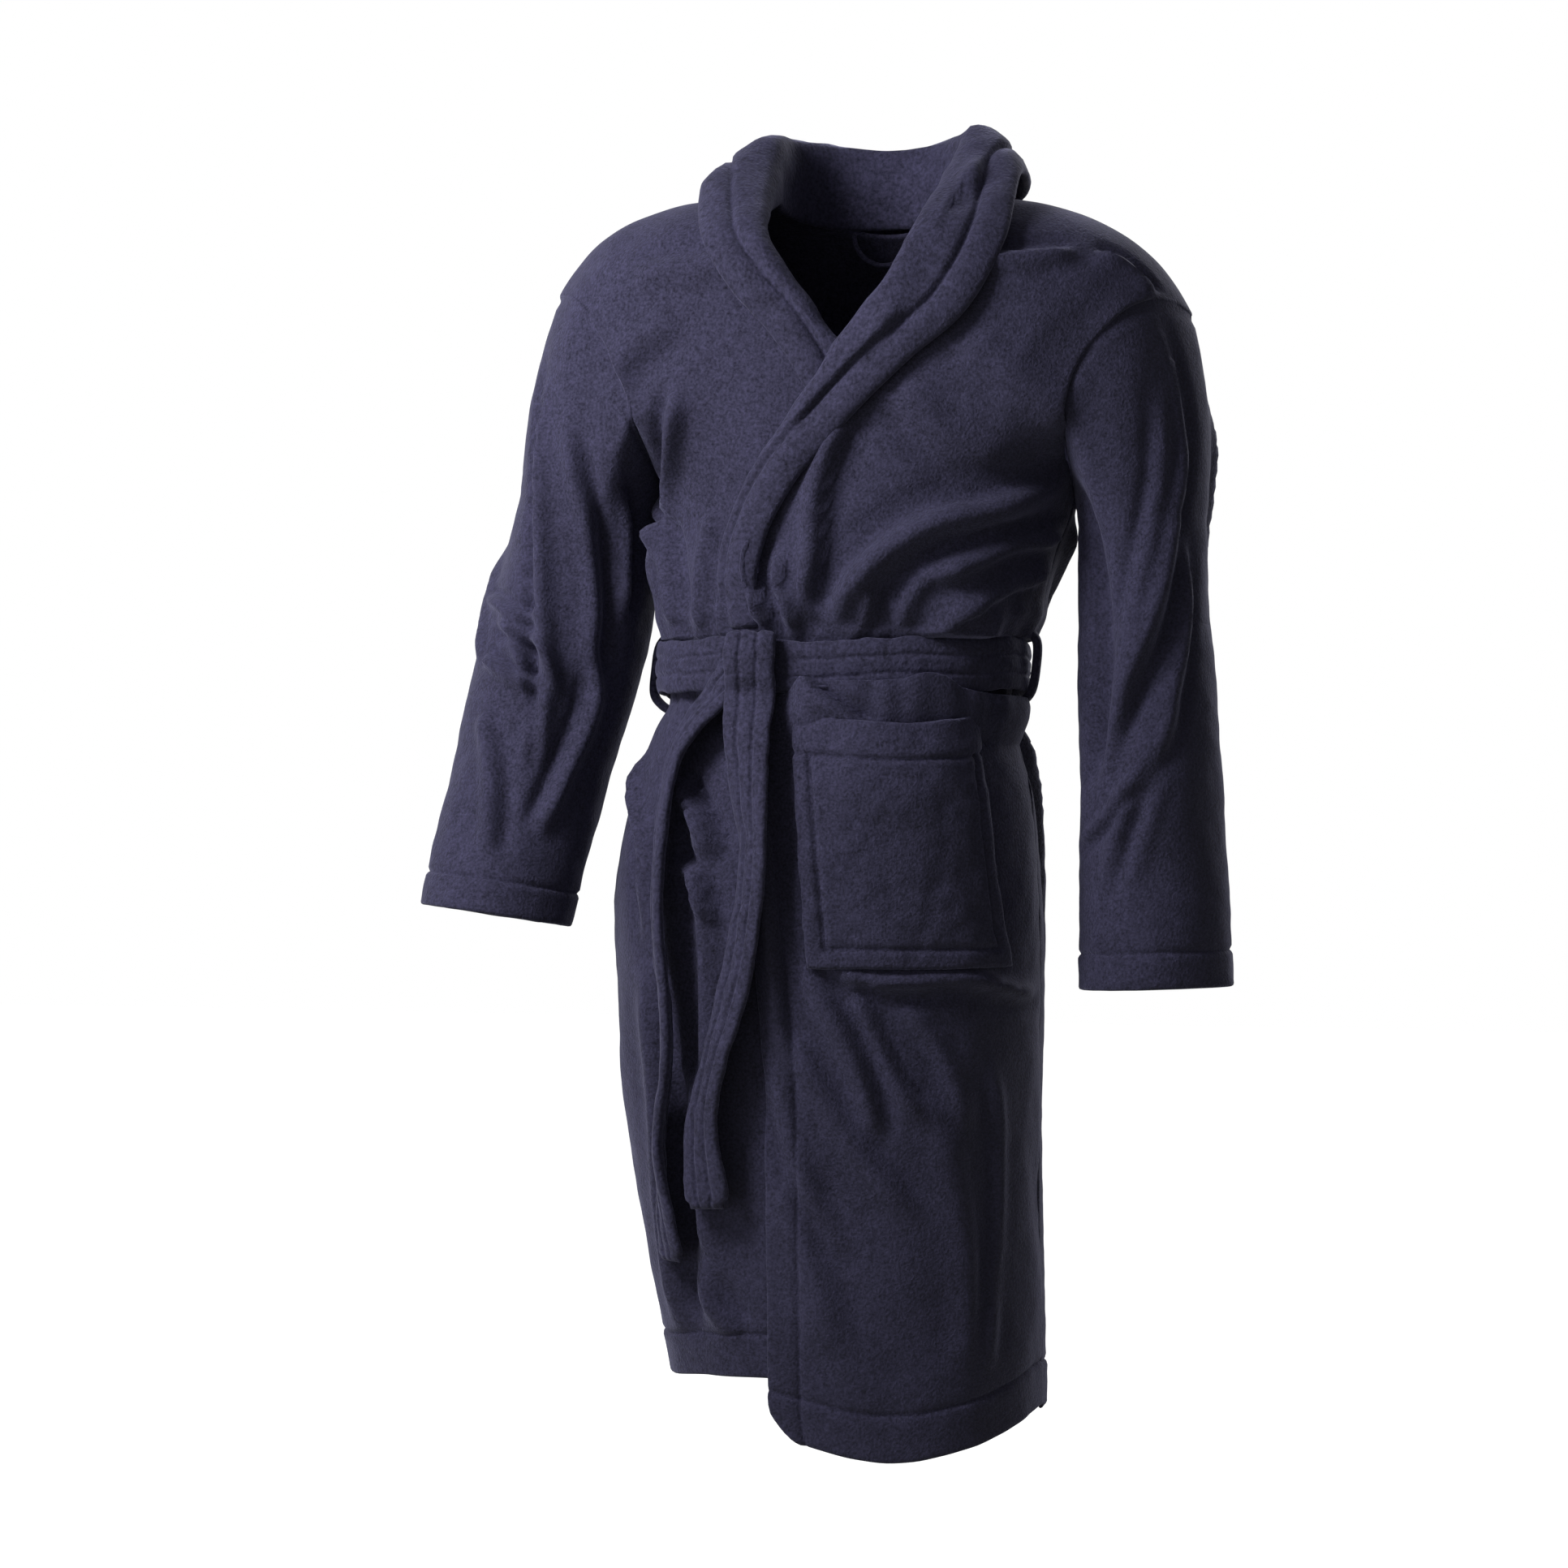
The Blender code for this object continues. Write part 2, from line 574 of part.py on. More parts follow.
def sleeve_frame(side, along):
    """Centre, half-width, half-depth and the outward and forward directions at a share of the sleeve."""
    centres = [Vector(centre) for centre, _, _ in SLEEVES[side]]
    sizes = [Vector((width, deep, 0)) for _, width, deep in SLEEVES[side]]
    centre, size = spline(centres, along), spline(sizes, along)
    down = (spline(centres, min(along + 0.05, 1.0)) - spline(centres, max(along - 0.05, 0.0))).normalized()
    forward = (Vector((0, -1, 0)) + RING_LEAN * down * down.y).normalized()
    outward = (Vector((side, 0, 0)) - down * side * down.x - forward * side * forward.x).normalized()
    return centre, size.x, size.y, outward, forward


def sleeve_ring(side, along, thicker=0.0):
    centre, width, deep, outward, forward = sleeve_frame(side, along)
    return [
        centre + outward * (width + thicker) * math.cos(angle) + forward * (deep + thicker) * math.sin(angle)
        for angle in spread(0.0, 2 * math.pi, RING_POINTS + 1)[:-1]
    ]


def sleeve(side, word):
    """A sleeve in the two lengths that fold at the elbow, and its turned cuff.

    The upper length turns about the shoulder's end and the lower one about the crook of the elbow.
    """
    seam, first = armhole_ring(side), sleeve_ring(side, 0.0)
    shoulder_end = seam[0] + Vector((side * 0.001, 0, 0.004))
    centre, _, deep, _, forward = sleeve_frame(side, ELBOW_STATION)
    crook = centre + forward * (deep + 0.001)
    upper = [[a.lerp(b, share) for a, b in zip(seam, first)] for share in (0.025, 0.35, 0.7)]
    upper += [sleeve_ring(side, along) for along in spread(0.0, ELBOW_STATION - SLEEVE_END_GAP, 4)]
    solid(f"{word}_upper_sleeve", upper, CLOTH, closed=True, pivot=shoulder_end)
    length = (Vector(SLEEVES[side][-1][0]) - Vector(SLEEVES[side][0][0])).length
    cuff_from = 1 - CUFF / length
    lower = [sleeve_ring(side, along) for along in spread(ELBOW_STATION + SLEEVE_END_GAP, cuff_from - CUFF_GAP, 4)]
    solid(f"{word}_lower_sleeve", lower, CLOTH, closed=True, pivot=crook)
    cuff = [sleeve_ring(side, along, (CUFF_CLOTH - CLOTH) / 2) for along in (cuff_from + CUFF_GAP, 1.0)]
    solid(f"{word}_cuff", cuff, CUFF_CLOTH, closed=True, pivot=crook)


# ---------------------------------------------------------------- the robe
def build():
    back_panel()
    left_front_panel()
    left_front_corner()
    right_front_panel()
    collar(LEFT, "left", LEFT_LAPEL, LAYER)
    collar(RIGHT, "right", RIGHT_LAPEL, 0.0)
    collar_stand()
    patch_pocket()
    hanger_loop()
    belt_loop(LEFT, "left")
    belt_loop(RIGHT, "right")
    belt_waistband()
    belt_knot()
    belt_tail("belt_short_tail", SHORT_TAIL, SHORT_TAIL_WIDTH)
    belt_tail("belt_long_tail", LONG_TAIL, LONG_TAIL_WIDTH)
    sleeve(LEFT, "left")
    sleeve(RIGHT, "right")


for old in list(bpy.data.objects):
    bpy.data.objects.remove(old)
build()
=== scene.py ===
"""The looks of the wrap-over plush bathrobe: cloth with folds, pile and stitching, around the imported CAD.

Frame: the origin is the middle of the neck, +X is the wearer's left, -Y the front, +Z up. Lengths are
metres. Each piece of cloth is a fine grid on the same worn shape as the CAD, moved by folds and given
its thickness.
"""

import math

import bpy
import bmesh
import numpy as np
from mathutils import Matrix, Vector, noise


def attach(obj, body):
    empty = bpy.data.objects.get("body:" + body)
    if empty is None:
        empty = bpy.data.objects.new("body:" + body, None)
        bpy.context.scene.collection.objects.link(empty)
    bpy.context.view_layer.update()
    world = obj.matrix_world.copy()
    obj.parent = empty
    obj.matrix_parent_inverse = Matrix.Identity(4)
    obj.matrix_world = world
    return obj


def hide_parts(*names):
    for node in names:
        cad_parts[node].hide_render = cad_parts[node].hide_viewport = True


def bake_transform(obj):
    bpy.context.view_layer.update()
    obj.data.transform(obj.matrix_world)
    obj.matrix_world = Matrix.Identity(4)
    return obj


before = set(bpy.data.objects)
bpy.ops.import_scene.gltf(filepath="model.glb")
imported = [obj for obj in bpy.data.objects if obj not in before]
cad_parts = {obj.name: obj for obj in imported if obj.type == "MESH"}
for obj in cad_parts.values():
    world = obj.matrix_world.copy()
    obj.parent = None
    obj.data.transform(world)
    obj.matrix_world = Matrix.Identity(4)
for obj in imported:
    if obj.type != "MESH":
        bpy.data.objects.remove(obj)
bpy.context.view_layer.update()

# ---------------------------------------------------------------- camera
TURN = math.radians(14.0)  # the camera stands this far round towards the wearer's left
DISTANCE = 3.0
AIM = Vector((-0.0782, -0.0195, -0.548))
LENS = 73.55
SENSOR = 36.0


def add_camera():
    camera = bpy.data.objects.new("camera", bpy.data.cameras.new("camera"))
    camera.data.lens = LENS
    camera.data.sensor_width = SENSOR
    back = Vector((math.sin(TURN), -math.cos(TURN), 0))
    camera.location = AIM + DISTANCE * back
    camera.rotation_euler = back.to_track_quat("Z", "Y").to_euler()
    bpy.context.scene.collection.objects.link(camera)
    bpy.context.scene.camera = camera


add_camera()

# ---------------------------------------------------------------- the worn shape, as in the CAD
CLOTH = 0.005
LAYER = 0.0075
HEM = -1.11
ARMPIT = -0.29
SHOULDER_ROUND = 0.1
SECTION_POWER = 2.3
ARM_SPREAD = 0.36
NECK_HALF_WIDTH = 0.088
NECK_BACK = 0.6
BELT_HEIGHT = -0.44
BELT_WIDTH = 0.048
BELT_CLOTH = 0.008
BELT_OFF = LAYER + 0.002 + BELT_CLOTH
LEFT, RIGHT = 1, -1
MIDDLE = (0.0, 0.0, -0.55)  # the middle of the robe: outer faces look away from it
FRONT, BACK = -1, 1


def through(*table):
    """A smooth function of an array, through (place, value) pairs, which never overshoots them."""
    places, values = np.array(sorted(table), float).T
    steps = np.diff(places)
    rises = np.diff(values) / steps
    product = rises[:-1] * rises[1:]
    total = rises[:-1] + rises[1:]
    inner = np.where(product > 0, 2 * product / np.where(total == 0, 1, total), 0)
    slopes = np.concatenate([rises[:1], inner, rises[-1:]])

    def value(place):
        place = np.asarray(place, float)
        i = np.clip(np.searchsorted(places, place, side="right") - 1, 0, len(steps) - 1)
        h = steps[i]
        t = np.clip((place - places[i]) / h, 0, 1)
        keep = (1 + 2 * t) * (1 - t) ** 2 * values[i] + t * t * (3 - 2 * t) * values[i + 1]
        return keep + h * t * (1 - t) * ((1 - t) * slopes[i] - t * slopes[i + 1])

    return value


def ease(share):
    share = np.clip(share, 0, 1)
    return share * share * (3 - 2 * share)


half_width = through(
    (-1.13, 0.172), (-1.05, 0.18), (-0.92, 0.19), (-0.8, 0.198), (-0.67, 0.2),
    (-0.56, 0.188), (-0.5, 0.17), (-0.47, 0.158), (-0.41, 0.158), (-0.385, 0.17), (-0.35, 0.182),
    (-0.29, 0.193),
)
half_depth = through(
    (-1.13, 0.142), (-0.9, 0.146), (-0.67, 0.148), (-0.56, 0.14), (-0.5, 0.126),
    (-0.47, 0.116), (-0.41, 0.116), (-0.385, 0.124), (-0.34, 0.133), (-0.25, 0.137), (0.0, 0.135),
)
shift_x = through(
    (-1.13, -0.009), (-1.05, -0.017), (-0.8, -0.036), (-0.67, -0.038), (-0.5, -0.03),
    (-0.44, -0.023), (-0.36, -0.014), (-0.29, 0.0), (0.0, 0.0),
)
shift_y = through((-1.13, 0.0), (-0.7, -0.01), (-0.45, -0.012), (-0.2, 0.003), (0.0, 0.005))
shoulder = through(
    (-0.31, -0.105), (-0.3, -0.087), (-0.279, -0.054), (-0.25, -0.027), (-0.214, -0.01),
    (-0.159, 0.002), (-0.085, 0.004), (0.0, 0.0), (0.085, -0.002), (0.156, -0.011), (0.198, -0.023),
    (0.236, -0.042), (0.266, -0.066), (0.285, -0.09), (0.31, -0.135),
)
armhole = through((0.0, 0.193), (0.18, 0.196), (0.38, 0.205), (0.64, 0.242), (0.86, 0.28), (1.0, 0.3))
left_edge = through(
    (0.0, 0.088), (-0.027, 0.08), (-0.099, 0.051), (-0.141, 0.017), (-0.19, -0.019),
    (-0.233, -0.048), (-0.266, -0.071), (-0.305, -0.092), (-0.36, -0.106), (-0.42, -0.102),
    (-0.55, -0.088), (-0.644, -0.075), (-0.86, -0.058), (-1.075, -0.057), (-1.125, -0.05),
)
right_edge = through(
    (0.0, -0.092), (-0.052, -0.0745), (-0.093, -0.0455), (-0.137, -0.0143), (-0.16, 0.003),
    (-0.19, 0.02), (-0.233, 0.045), (-0.3, 0.072), (-0.36, 0.08), (-0.42, 0.07), (-0.47, 0.07),
    (-0.56, 0.08), (-0.7, 0.08), (-0.86, 0.07), (-1.06, 0.06),
)
overlap_hem = through((-0.06, 0.021), (0.05, 0.04), (0.12, 0.028), (0.18, 0.0))
under_hem = through((-0.18, -0.015), (-0.13, -0.025), (-0.05, -0.03), (0.18, 0.0))
back_hem = through(
    (-0.18, -0.015), (-0.13, -0.022), (0.0, -0.016), (0.08, -0.006), (0.145, 0.016), (0.18, 0.006),
)


def up_share(row):
    return np.clip(1 - row / ARMPIT, 0, None)


def reach(row):
    return np.where(row <= ARMPIT, half_width(row), armhole(up_share(row)))


def level(x, row):
    return np.where(row <= ARMPIT, row, ARMPIT + (shoulder(x) - ARMPIT) * up_share(row))


def row_at(x, z):
    return np.where(z <= ARMPIT, z, ARMPIT * (1 - (z - ARMPIT) / (shoulder(x) - ARMPIT)))


def depth(x, row, off=0.0):
    """How far the cloth's outer face is from the body's middle plane."""
    wide = np.clip(np.abs(x - shift_x(row)) / (reach(row) + off), 0, 1)
    ring = (half_depth(row) + off) * (1 - wide**SECTION_POWER) ** (1 / SECTION_POWER)
    chest = (half_depth(row) + off) * np.sqrt(np.clip(1 - (np.abs(x) / ARM_SPREAD) ** 2.4, 0, 1))
    above = ease(up_share(row) / 0.3)
    fall = np.clip((shoulder(x) - level(x, row)) / SHOULDER_ROUND, 0, 1)
    upper = (ring + (chest - ring) * above) * np.sqrt(1 - (1 - fall) ** 2)
    return np.where(row <= ARMPIT, ring, upper)


def body_point(side, face, angle, row, off=0.0):
    """Points on the worn shape. The angle is 0 at the side seam and a quarter turn at the middle."""
    x = shift_x(row) + side * (reach(row) + off) * np.cos(angle)
    return np.stack([x, shift_y(row) + face * depth(x, row, off), level(x, row)], axis=-1)


def front_point(x, z, off):
    x, z, off = np.broadcast_arrays(*(np.asarray(value, float) for value in (x, z, off)))
    row = row_at(x, z)
    return np.stack([x, shift_y(row) - depth(x, row) - off, z], axis=-1)


def edge_angle(side, edge, row):
    """The angle on each row at which a front panel's free edge lies."""
    low, high = np.zeros_like(row), np.full_like(row, math.pi)
    for _ in range(40):
        angle = (low + high) / 2
        x = shift_x(row) + side * reach(row) * np.cos(angle)
        inside = side * (x - edge(level(x, row))) > 0
        low, high = np.where(inside, angle, low), np.where(inside, high, angle)
    return low


def overlap_off(x, row):
    seam = shift_x(row) + reach(row)
    return LAYER * (1 - ease((x - seam + 0.055) / 0.045))


# ---------------------------------------------------------------- grids and closed cloth
def curve(points, count):
    """Points at even shares of a Catmull-Rom curve through rows of points."""
    points = np.asarray(points, float)
    last = len(points) - 1
    share = np.linspace(0, last, count)
    i = np.minimum(share.astype(int), last - 1)
    t = (share - i).reshape(-1, *([1] * (points.ndim - 1)))
    a, b, c, d = (points[np.clip(i + k, 0, last)] for k in (-1, 0, 1, 2))
    return b + 0.5 * t * (c - a + t * (2 * a - 5 * b + 4 * c - d + t * (3 * (b - c) + d - a)))


def normals(grid, away, closed=False):
    """Unit normals of a grid of points, on the side that faces away from a point or points."""
    along = np.gradient(grid, axis=0)
    if closed:
        across = (np.roll(grid, -1, axis=1) - np.roll(grid, 1, axis=1)) / 2
    else:
        across = np.gradient(grid, axis=1)
    normal = np.cross(across, along)
    normal /= np.maximum(np.linalg.norm(normal, axis=-1, keepdims=True), 1e-12)
    if np.sum(normal * (grid - away)) < 0:
        normal = -normal
    return normal


def softened(normal, closed):
    """Normals averaged with their neighbours, so that the inner face of a tight fold stays smooth."""
    for _ in range(3):
        if closed:
            sides = np.roll(normal, 1, 1), np.roll(normal, -1, 1)
        else:
            before = np.concatenate([normal[:, :1], normal[:, :-1]], 1)
            sides = before, np.concatenate([normal[:, 1:], normal[:, -1:]], 1)
        ends = np.concatenate([normal[:1], normal[:-1]]), np.concatenate([normal[1:], normal[-1:]])
        normal = unit(2 * normal + sides[0] + sides[1] + ends[0] + ends[1])
    return normal


def unit(vectors):
    return vectors / np.maximum(np.linalg.norm(vectors, axis=-1, keepdims=True), 1e-12)


RIM_ANGLES = (45, 90, 135)


def half_round(outer, inner, outward):
    """Lines of points that turn from the outer to the inner face round a cloth's edge."""
    middle, arm = (outer + inner) / 2, (outer - inner) / 2
    radius = np.linalg.norm(arm, axis=-1, keepdims=True)
    return [
        middle + arm * math.cos(math.radians(a)) + outward * radius * math.sin(math.radians(a))
        for a in RIM_ANGLES
    ]


def closed_cloth(name, outer, thickness, away, closed=False):
    """A closed mesh of cloth from its outer face, with rounded edges. If closed, the rows are rings."""
    thickness = np.broadcast_to(thickness, outer.shape[:1])[:, None, None]
    inner = outer - softened(normals(outer, away, closed), closed) * thickness
    if closed:
        start, end = unit(outer[0] - outer[1]), unit(outer[-1] - outer[-2])
        rows = [*outer, *half_round(outer[-1], inner[-1], end), *inner[::-1]]
        rows += half_round(inner[0], outer[0], start)
        rows.append(outer[0])
    else:
        left, right = unit(outer[:, 0] - outer[:, 1]), unit(outer[:, -1] - outer[:, -2])
        strips = [outer.transpose(1, 0, 2)]
        strips.append(np.array(half_round(outer[:, -1], inner[:, -1], right)))
        strips.append(inner.transpose(1, 0, 2)[::-1])
        strips.append(np.array(half_round(inner[:, 0], outer[:, 0], left)))
        body = np.concatenate(strips).transpose(1, 0, 2)
        pair = np.arange(body.shape[1])
        count = outer.shape[1]
        rim = len(RIM_ANGLES)
        mirror = np.concatenate([
            pair[count + rim:2 * count + rim][::-1], pair[count:count + rim][::-1],
            pair[:count][::-1], pair[2 * count + rim:][::-1],
        ])
        rows = [row for row in body]
        for end, nxt, place in ((0, 1, 0), (-1, -2, None)):
            row = body[end]
            middle = (row + row[mirror]) / 2
            outward = unit(middle - (body[nxt] + body[nxt][mirror]) / 2)
            caps = [
                middle + (row - middle) * math.cos(a) + outward * thickness[end] / 2 * math.sin(a)
                for a in (math.radians(45), math.radians(90))
            ]
            rows = [*caps[::-1], *rows] if place == 0 else [*rows, *caps]
    return mesh_from_rings(name, rows)


def mesh_from_rings(name, rows):
    """A mesh through rows of points whose ends join. Points that meet are merged, so it closes."""
    grid = np.array(rows)
    count, around = grid.shape[:2]
    r, c = np.meshgrid(np.arange(count - 1), np.arange(around), indexing="ij")
    following = (c + 1) % around
    this, upper = r * around, (r + 1) * around
    faces = np.stack([this + c, this + following, upper + following, upper + c], -1)
    mesh = bpy.data.meshes.new(name)
    mesh.from_pydata(grid.reshape(-1, 3).tolist(), [], faces.reshape(-1, 4).tolist())
    work = bmesh.new()
    work.from_mesh(mesh)
    bmesh.ops.remove_doubles(work, verts=work.verts, dist=1e-6)
    bmesh.ops.recalc_face_normals(work, faces=work.faces)
    work.to_mesh(mesh)
    work.free()
    mesh.shade_smooth()
    piece = bpy.data.objects.new(name, mesh)
    bpy.context.scene.collection.objects.link(piece)
    return piece


# ---------------------------------------------------------------- folds
FOLD_GAIN = 1.7  # how much higher folds stand than their listed heights
SWELL = 0.003  # height of the cloth's soft unevenness
FINE_SIZE, FINE_SWELL = 0.018, 0.0008  # size and height of the finer unevenness between


def back_point(x, z):
    row = row_at(x, z)
    return np.stack([x, shift_y(row) + depth(x, row), z], axis=-1)


SHOULDER_X = 0.245
SHOULDER_SIZE = (-0.002, 0.065, 0.1)  # the sleeve's middle in Y, half-width and half-depth at the shoulder


def sleeve_point(side, face, x, z):
    """A point on the front or back of a sleeve at X and height z."""
    stations = SLEEVES[side]
    heights = [0.0] + [-centre[2] for centre, _, _ in stations]
    values = [(side * SHOULDER_X, *SHOULDER_SIZE)]
    values += [(*centre[:2], wide, deep) for centre, wide, deep in stations]
    middle_x, middle_y, wide, deep = (np.interp(-z, heights, column) for column in zip(*values))
    across = np.clip(np.abs(x - middle_x) / wide, 0, 1)
    return np.stack([x, middle_y + face * deep * np.sqrt(1 - across**2), z], axis=-1)


def placed(strokes, point_at):
    """Strokes whose lines are given by X and Z only, put on a surface."""
    result = []
    for line, width, height, lean in strokes:
        x, z = np.array(line).T
        result.append((point_at(x, z), width, height, lean))
    return result


def stroke_field(grid, normal, strokes):
    """How far folds move each point along its normal. A stroke is (points, width, height, lean).

    The height is that of a ridge, or of a valley when negative. Lean puts a valley beside the ridge.
    """
    flat = grid.reshape(-1, 3)
    out = np.zeros(len(flat))
    facing = normal.reshape(-1, 3)
    for points, width, height, lean in strokes:
        line = curve(points, 8 * (len(points) - 1) + 1)
        near = np.linalg.norm(flat - line.mean(0), axis=1) < np.ptp(line, axis=0).max() + 4 * width
        p = flat[near]
        best = np.full(len(p), 1e9)
        share = np.zeros(len(p))
        signed = np.zeros(len(p))
        for k, (a, b) in enumerate(zip(line, line[1:])):
            step = b - a
            t = np.clip((p - a) @ step / (step @ step), 0, 1)
            off = p - a - t[:, None] * step
            distance = np.linalg.norm(off, axis=1)
            closer = distance < best
            side = np.sign(np.einsum("ij,ij->i", off, np.cross(facing[near], unit(step))))
            best = np.where(closer, distance, best)
            share = np.where(closer, (k + t) / (len(line) - 1), share)
            signed = np.where(closer, distance * side, signed)
        taper = ease(share / 0.22) * ease((1 - share) / 0.22)
        height = height * FOLD_GAIN
        wave = np.exp(-((signed / width) ** 2))
        if lean:
            wave -= 0.7 * np.exp(-(((signed - lean * 1.5 * width) / (0.8 * width)) ** 2))
        out[near] += height * taper * wave
    return out.reshape(grid.shape[:2])


def lumps(grid, size, height, seed, stretch=1.0):
    """Soft random unevenness, of about the given size, drawn out in height by stretch."""
    scale = np.array([1 / size, 1 / size, 1 / (size * stretch)])
    places = grid.reshape(-1, 3) * scale + seed
    values = [noise.noise(Vector(place)) for place in places]
    return height * np.array(values).reshape(grid.shape[:2])


def uneven(grid, size, seed, fine_seed, stretch):
    """The cloth's general unevenness: soft swells of a given size and finer ones between them."""
    return lumps(grid, size, SWELL, seed, stretch) + lumps(grid, FINE_SIZE, FINE_SWELL, fine_seed)


def gathers(grid, height, seed, pitch=0.03):
    """Small upright pleats where the belt draws the cloth in, dying away above and below it."""
    angle = np.arctan2(grid[..., 1], grid[..., 0] - shift_x(BELT_HEIGHT))
    along = angle * 0.15 + lumps(grid, 0.09, 0.02, seed, 2.0)
    fade = np.exp(-((np.abs(grid[..., 2] - BELT_HEIGHT) - 0.015).clip(0) / 0.045) ** 1.5)
    strength = 0.6 + 0.4 * np.sin(along * 2 * math.pi / (3.3 * pitch))
    return height * fade * strength * np.sin(along * 2 * math.pi / pitch)


# ---------------------------------------------------------------- body panels
STEP = 0.006  # the grids' usual spacing
HEM_STITCH = 0.038
EDGE_STITCH = 0.028
GROOVE = 0.0022  # how deep a line of stitching sinks in
HEM_RAISE = 0.0012  # how much the doubled cloth of a hem stands up
SEAM_FADE = 0.03  # folds die away over this length towards a seam


def panel_rows():
    """Row heights from hem to shoulder, closer together at the hem's stitching and over the shoulder."""
    hem = HEM + np.array([0, 0.003, 0.009, 0.017, 0.026, 0.033, 0.036, 0.038, 0.04, 0.043])
    skirt = np.arange(HEM + 0.05, -0.515, STEP)
    waist = np.concatenate([
        np.arange(-0.515, -0.462, 0.0014), np.arange(-0.462, -0.42, 0.005),
        np.arange(-0.42, -0.395, 0.0017), np.arange(-0.395, -0.37, 0.003),
    ])
    chest = np.arange(-0.37, -0.08, STEP)
    over = -SHOULDER_ROUND * (1 - np.cos(np.radians(np.arange(76, -1, -4))))
    return np.concatenate([hem, skirt, waist, chest, over])


def spaced(length, stitch, count):
    """Distances from an edge: close together at its stitching, then even up to the far side."""
    beside = stitch + np.array([-0.004, -0.0015, 0, 0.0015, 0.004])
    near = np.concatenate([[0, 0.004, 0.01, 0.017], beside])
    return np.concatenate([near, near[-1] + (length - near[-1]) * np.linspace(0, 1, count)[1:]])


def front_grid(side, edge, point_at):
    """A front panel's points, in rows from its free edge to the side seam, and how far in each one is."""
    rows = panel_rows()
    far = edge_angle(side, edge, rows)
    share = np.linspace(0, 1, 121)
    angles = far[:, None] * (1 - share)
    fine = point_at(angles, rows[:, None] + 0 * angles)
    steps = np.linalg.norm(np.diff(fine, axis=1), axis=-1)
    lengths = np.concatenate([np.zeros((len(rows), 1)), steps.cumsum(1)], 1)
    grid, inset = [], []
    for line, length in zip(fine, lengths):
        distance = spaced(length[-1], EDGE_STITCH, 48)
        grid.append(np.stack([np.interp(distance, length, line[:, k]) for k in range(3)], -1))
        inset.append(distance)
    return np.array(grid), np.array(inset), rows


def groove(distance, place, depth_=GROOVE, width=0.0022):
    return -depth_ * np.exp(-(((distance - place) / width) ** 2))


def hem_relief(above_hem):
    """The hem's row of stitching and the doubled cloth below it."""
    return groove(above_hem, HEM_STITCH) + HEM_RAISE * (above_hem < HEM_STITCH)


def dropped(point, hem, row):
    point = point.copy()
    point[..., 2] -= hem(point[..., 0]) * ease((-0.8 - row) / (-0.8 - HEM))
    return point


def left_point(angle, row):
    x = shift_x(row) + reach(row) * np.cos(angle)
    return dropped(body_point(LEFT, FRONT, angle, row, overlap_off(x, row)), overlap_hem, row)


def right_point(angle, row):
    return dropped(body_point(RIGHT, FRONT, angle, row), under_hem, row)


# Folds: a line of (X, Z), its width, its height and which side its valley is on.
LEFT_FRONT_FOLDS = (
    # beside the collar, from the chest to the belt
    (((0.02, -0.2), (-0.007, -0.254), (-0.018, -0.297), (-0.022, -0.355),
     (-0.035, -0.412)), 0.012, 0.009, 1),
    # the long sweep from the armpit to the knot
    (((0.2, -0.268), (0.141, -0.301), (0.087, -0.316), (0.045, -0.341), (0.015, -0.37),
     (-0.02, -0.412)), 0.014, 0.012, -1),
    # sharp creases under it
    (((0.195, -0.318), (0.152, -0.331), (0.114, -0.348), (0.079, -0.366)), 0.009, 0.01, -1),
    (((0.18, -0.35), (0.13, -0.372), (0.09, -0.395)), 0.01, 0.006, 1),
    (((0.12, -0.335), (0.085, -0.355), (0.06, -0.385), (0.052, -0.41)), 0.008, 0.005, -1),
    # over the shoulder
    (((0.12, -0.085), (0.158, -0.082), (0.213, -0.077)), 0.01, 0.006, 1),
    (((0.225, -0.076), (0.252, -0.085), (0.28, -0.112)), 0.009, 0.005, 1),
    (((0.11, -0.15), (0.165, -0.19), (0.205, -0.235)), 0.02, 0.004, 0),
    (((0.06, -0.19), (0.1, -0.235), (0.15, -0.262)), 0.018, 0.004, -1),
    # pleats where the belt nips the edge
    (((-0.068, -0.318), (-0.08, -0.345), (-0.074, -0.376), (-0.056, -0.42)), 0.006, 0.01, 1),
    (((-0.05, -0.338), (-0.053, -0.362), (-0.044, -0.388), (-0.04, -0.425)), 0.006, 0.009, -1),
    (((0.034, -0.372), (0.024, -0.398), (0.015, -0.422)), 0.006, 0.005, 1),
    (((0.1, -0.385), (0.085, -0.402), (0.075, -0.42)), 0.007, 0.005, 1),
    # the skirt, beside and under the pocket
    (((-0.07, -0.52), (-0.061, -0.627), (-0.054, -0.703), (-0.045, -0.8)), 0.01, 0.008, 1),
    (((-0.01, -0.705), (0.03, -0.722), (0.068, -0.724), (0.115, -0.722), (0.15, -0.735),
     (0.175, -0.742)), 0.008, 0.009, -1),
    (((-0.032, -0.7), (0.005, -0.76), (0.026, -0.81), (0.04, -0.87)), 0.01, 0.006, 1),
    (((0.012, -0.716), (0.033, -0.76), (0.056, -0.812), (0.085, -0.85)), 0.009, 0.005, 1),
    (((-0.044, -0.76), (-0.01, -0.822), (0.026, -0.878), (0.078, -0.938)), 0.012, 0.004, 1),
    (((-0.052, -0.78), (-0.04, -0.85), (-0.02, -0.905), (0.02, -0.98)), 0.01, 0.004, -1),
    (((-0.04, -0.88), (-0.02, -0.98), (0.0, -1.06)), 0.018, 0.003, 1),
    (((0.085, -0.8), (0.112, -0.96), (0.122, -1.08)), 0.018, 0.003, 1),
    (((0.134, -0.79), (0.14, -0.88), (0.136, -1.0), (0.132, -1.08)), 0.01, 0.004, -1),
    (((0.06, -0.738), (0.095, -0.79), (0.118, -0.86)), 0.01, 0.004, -1),
)
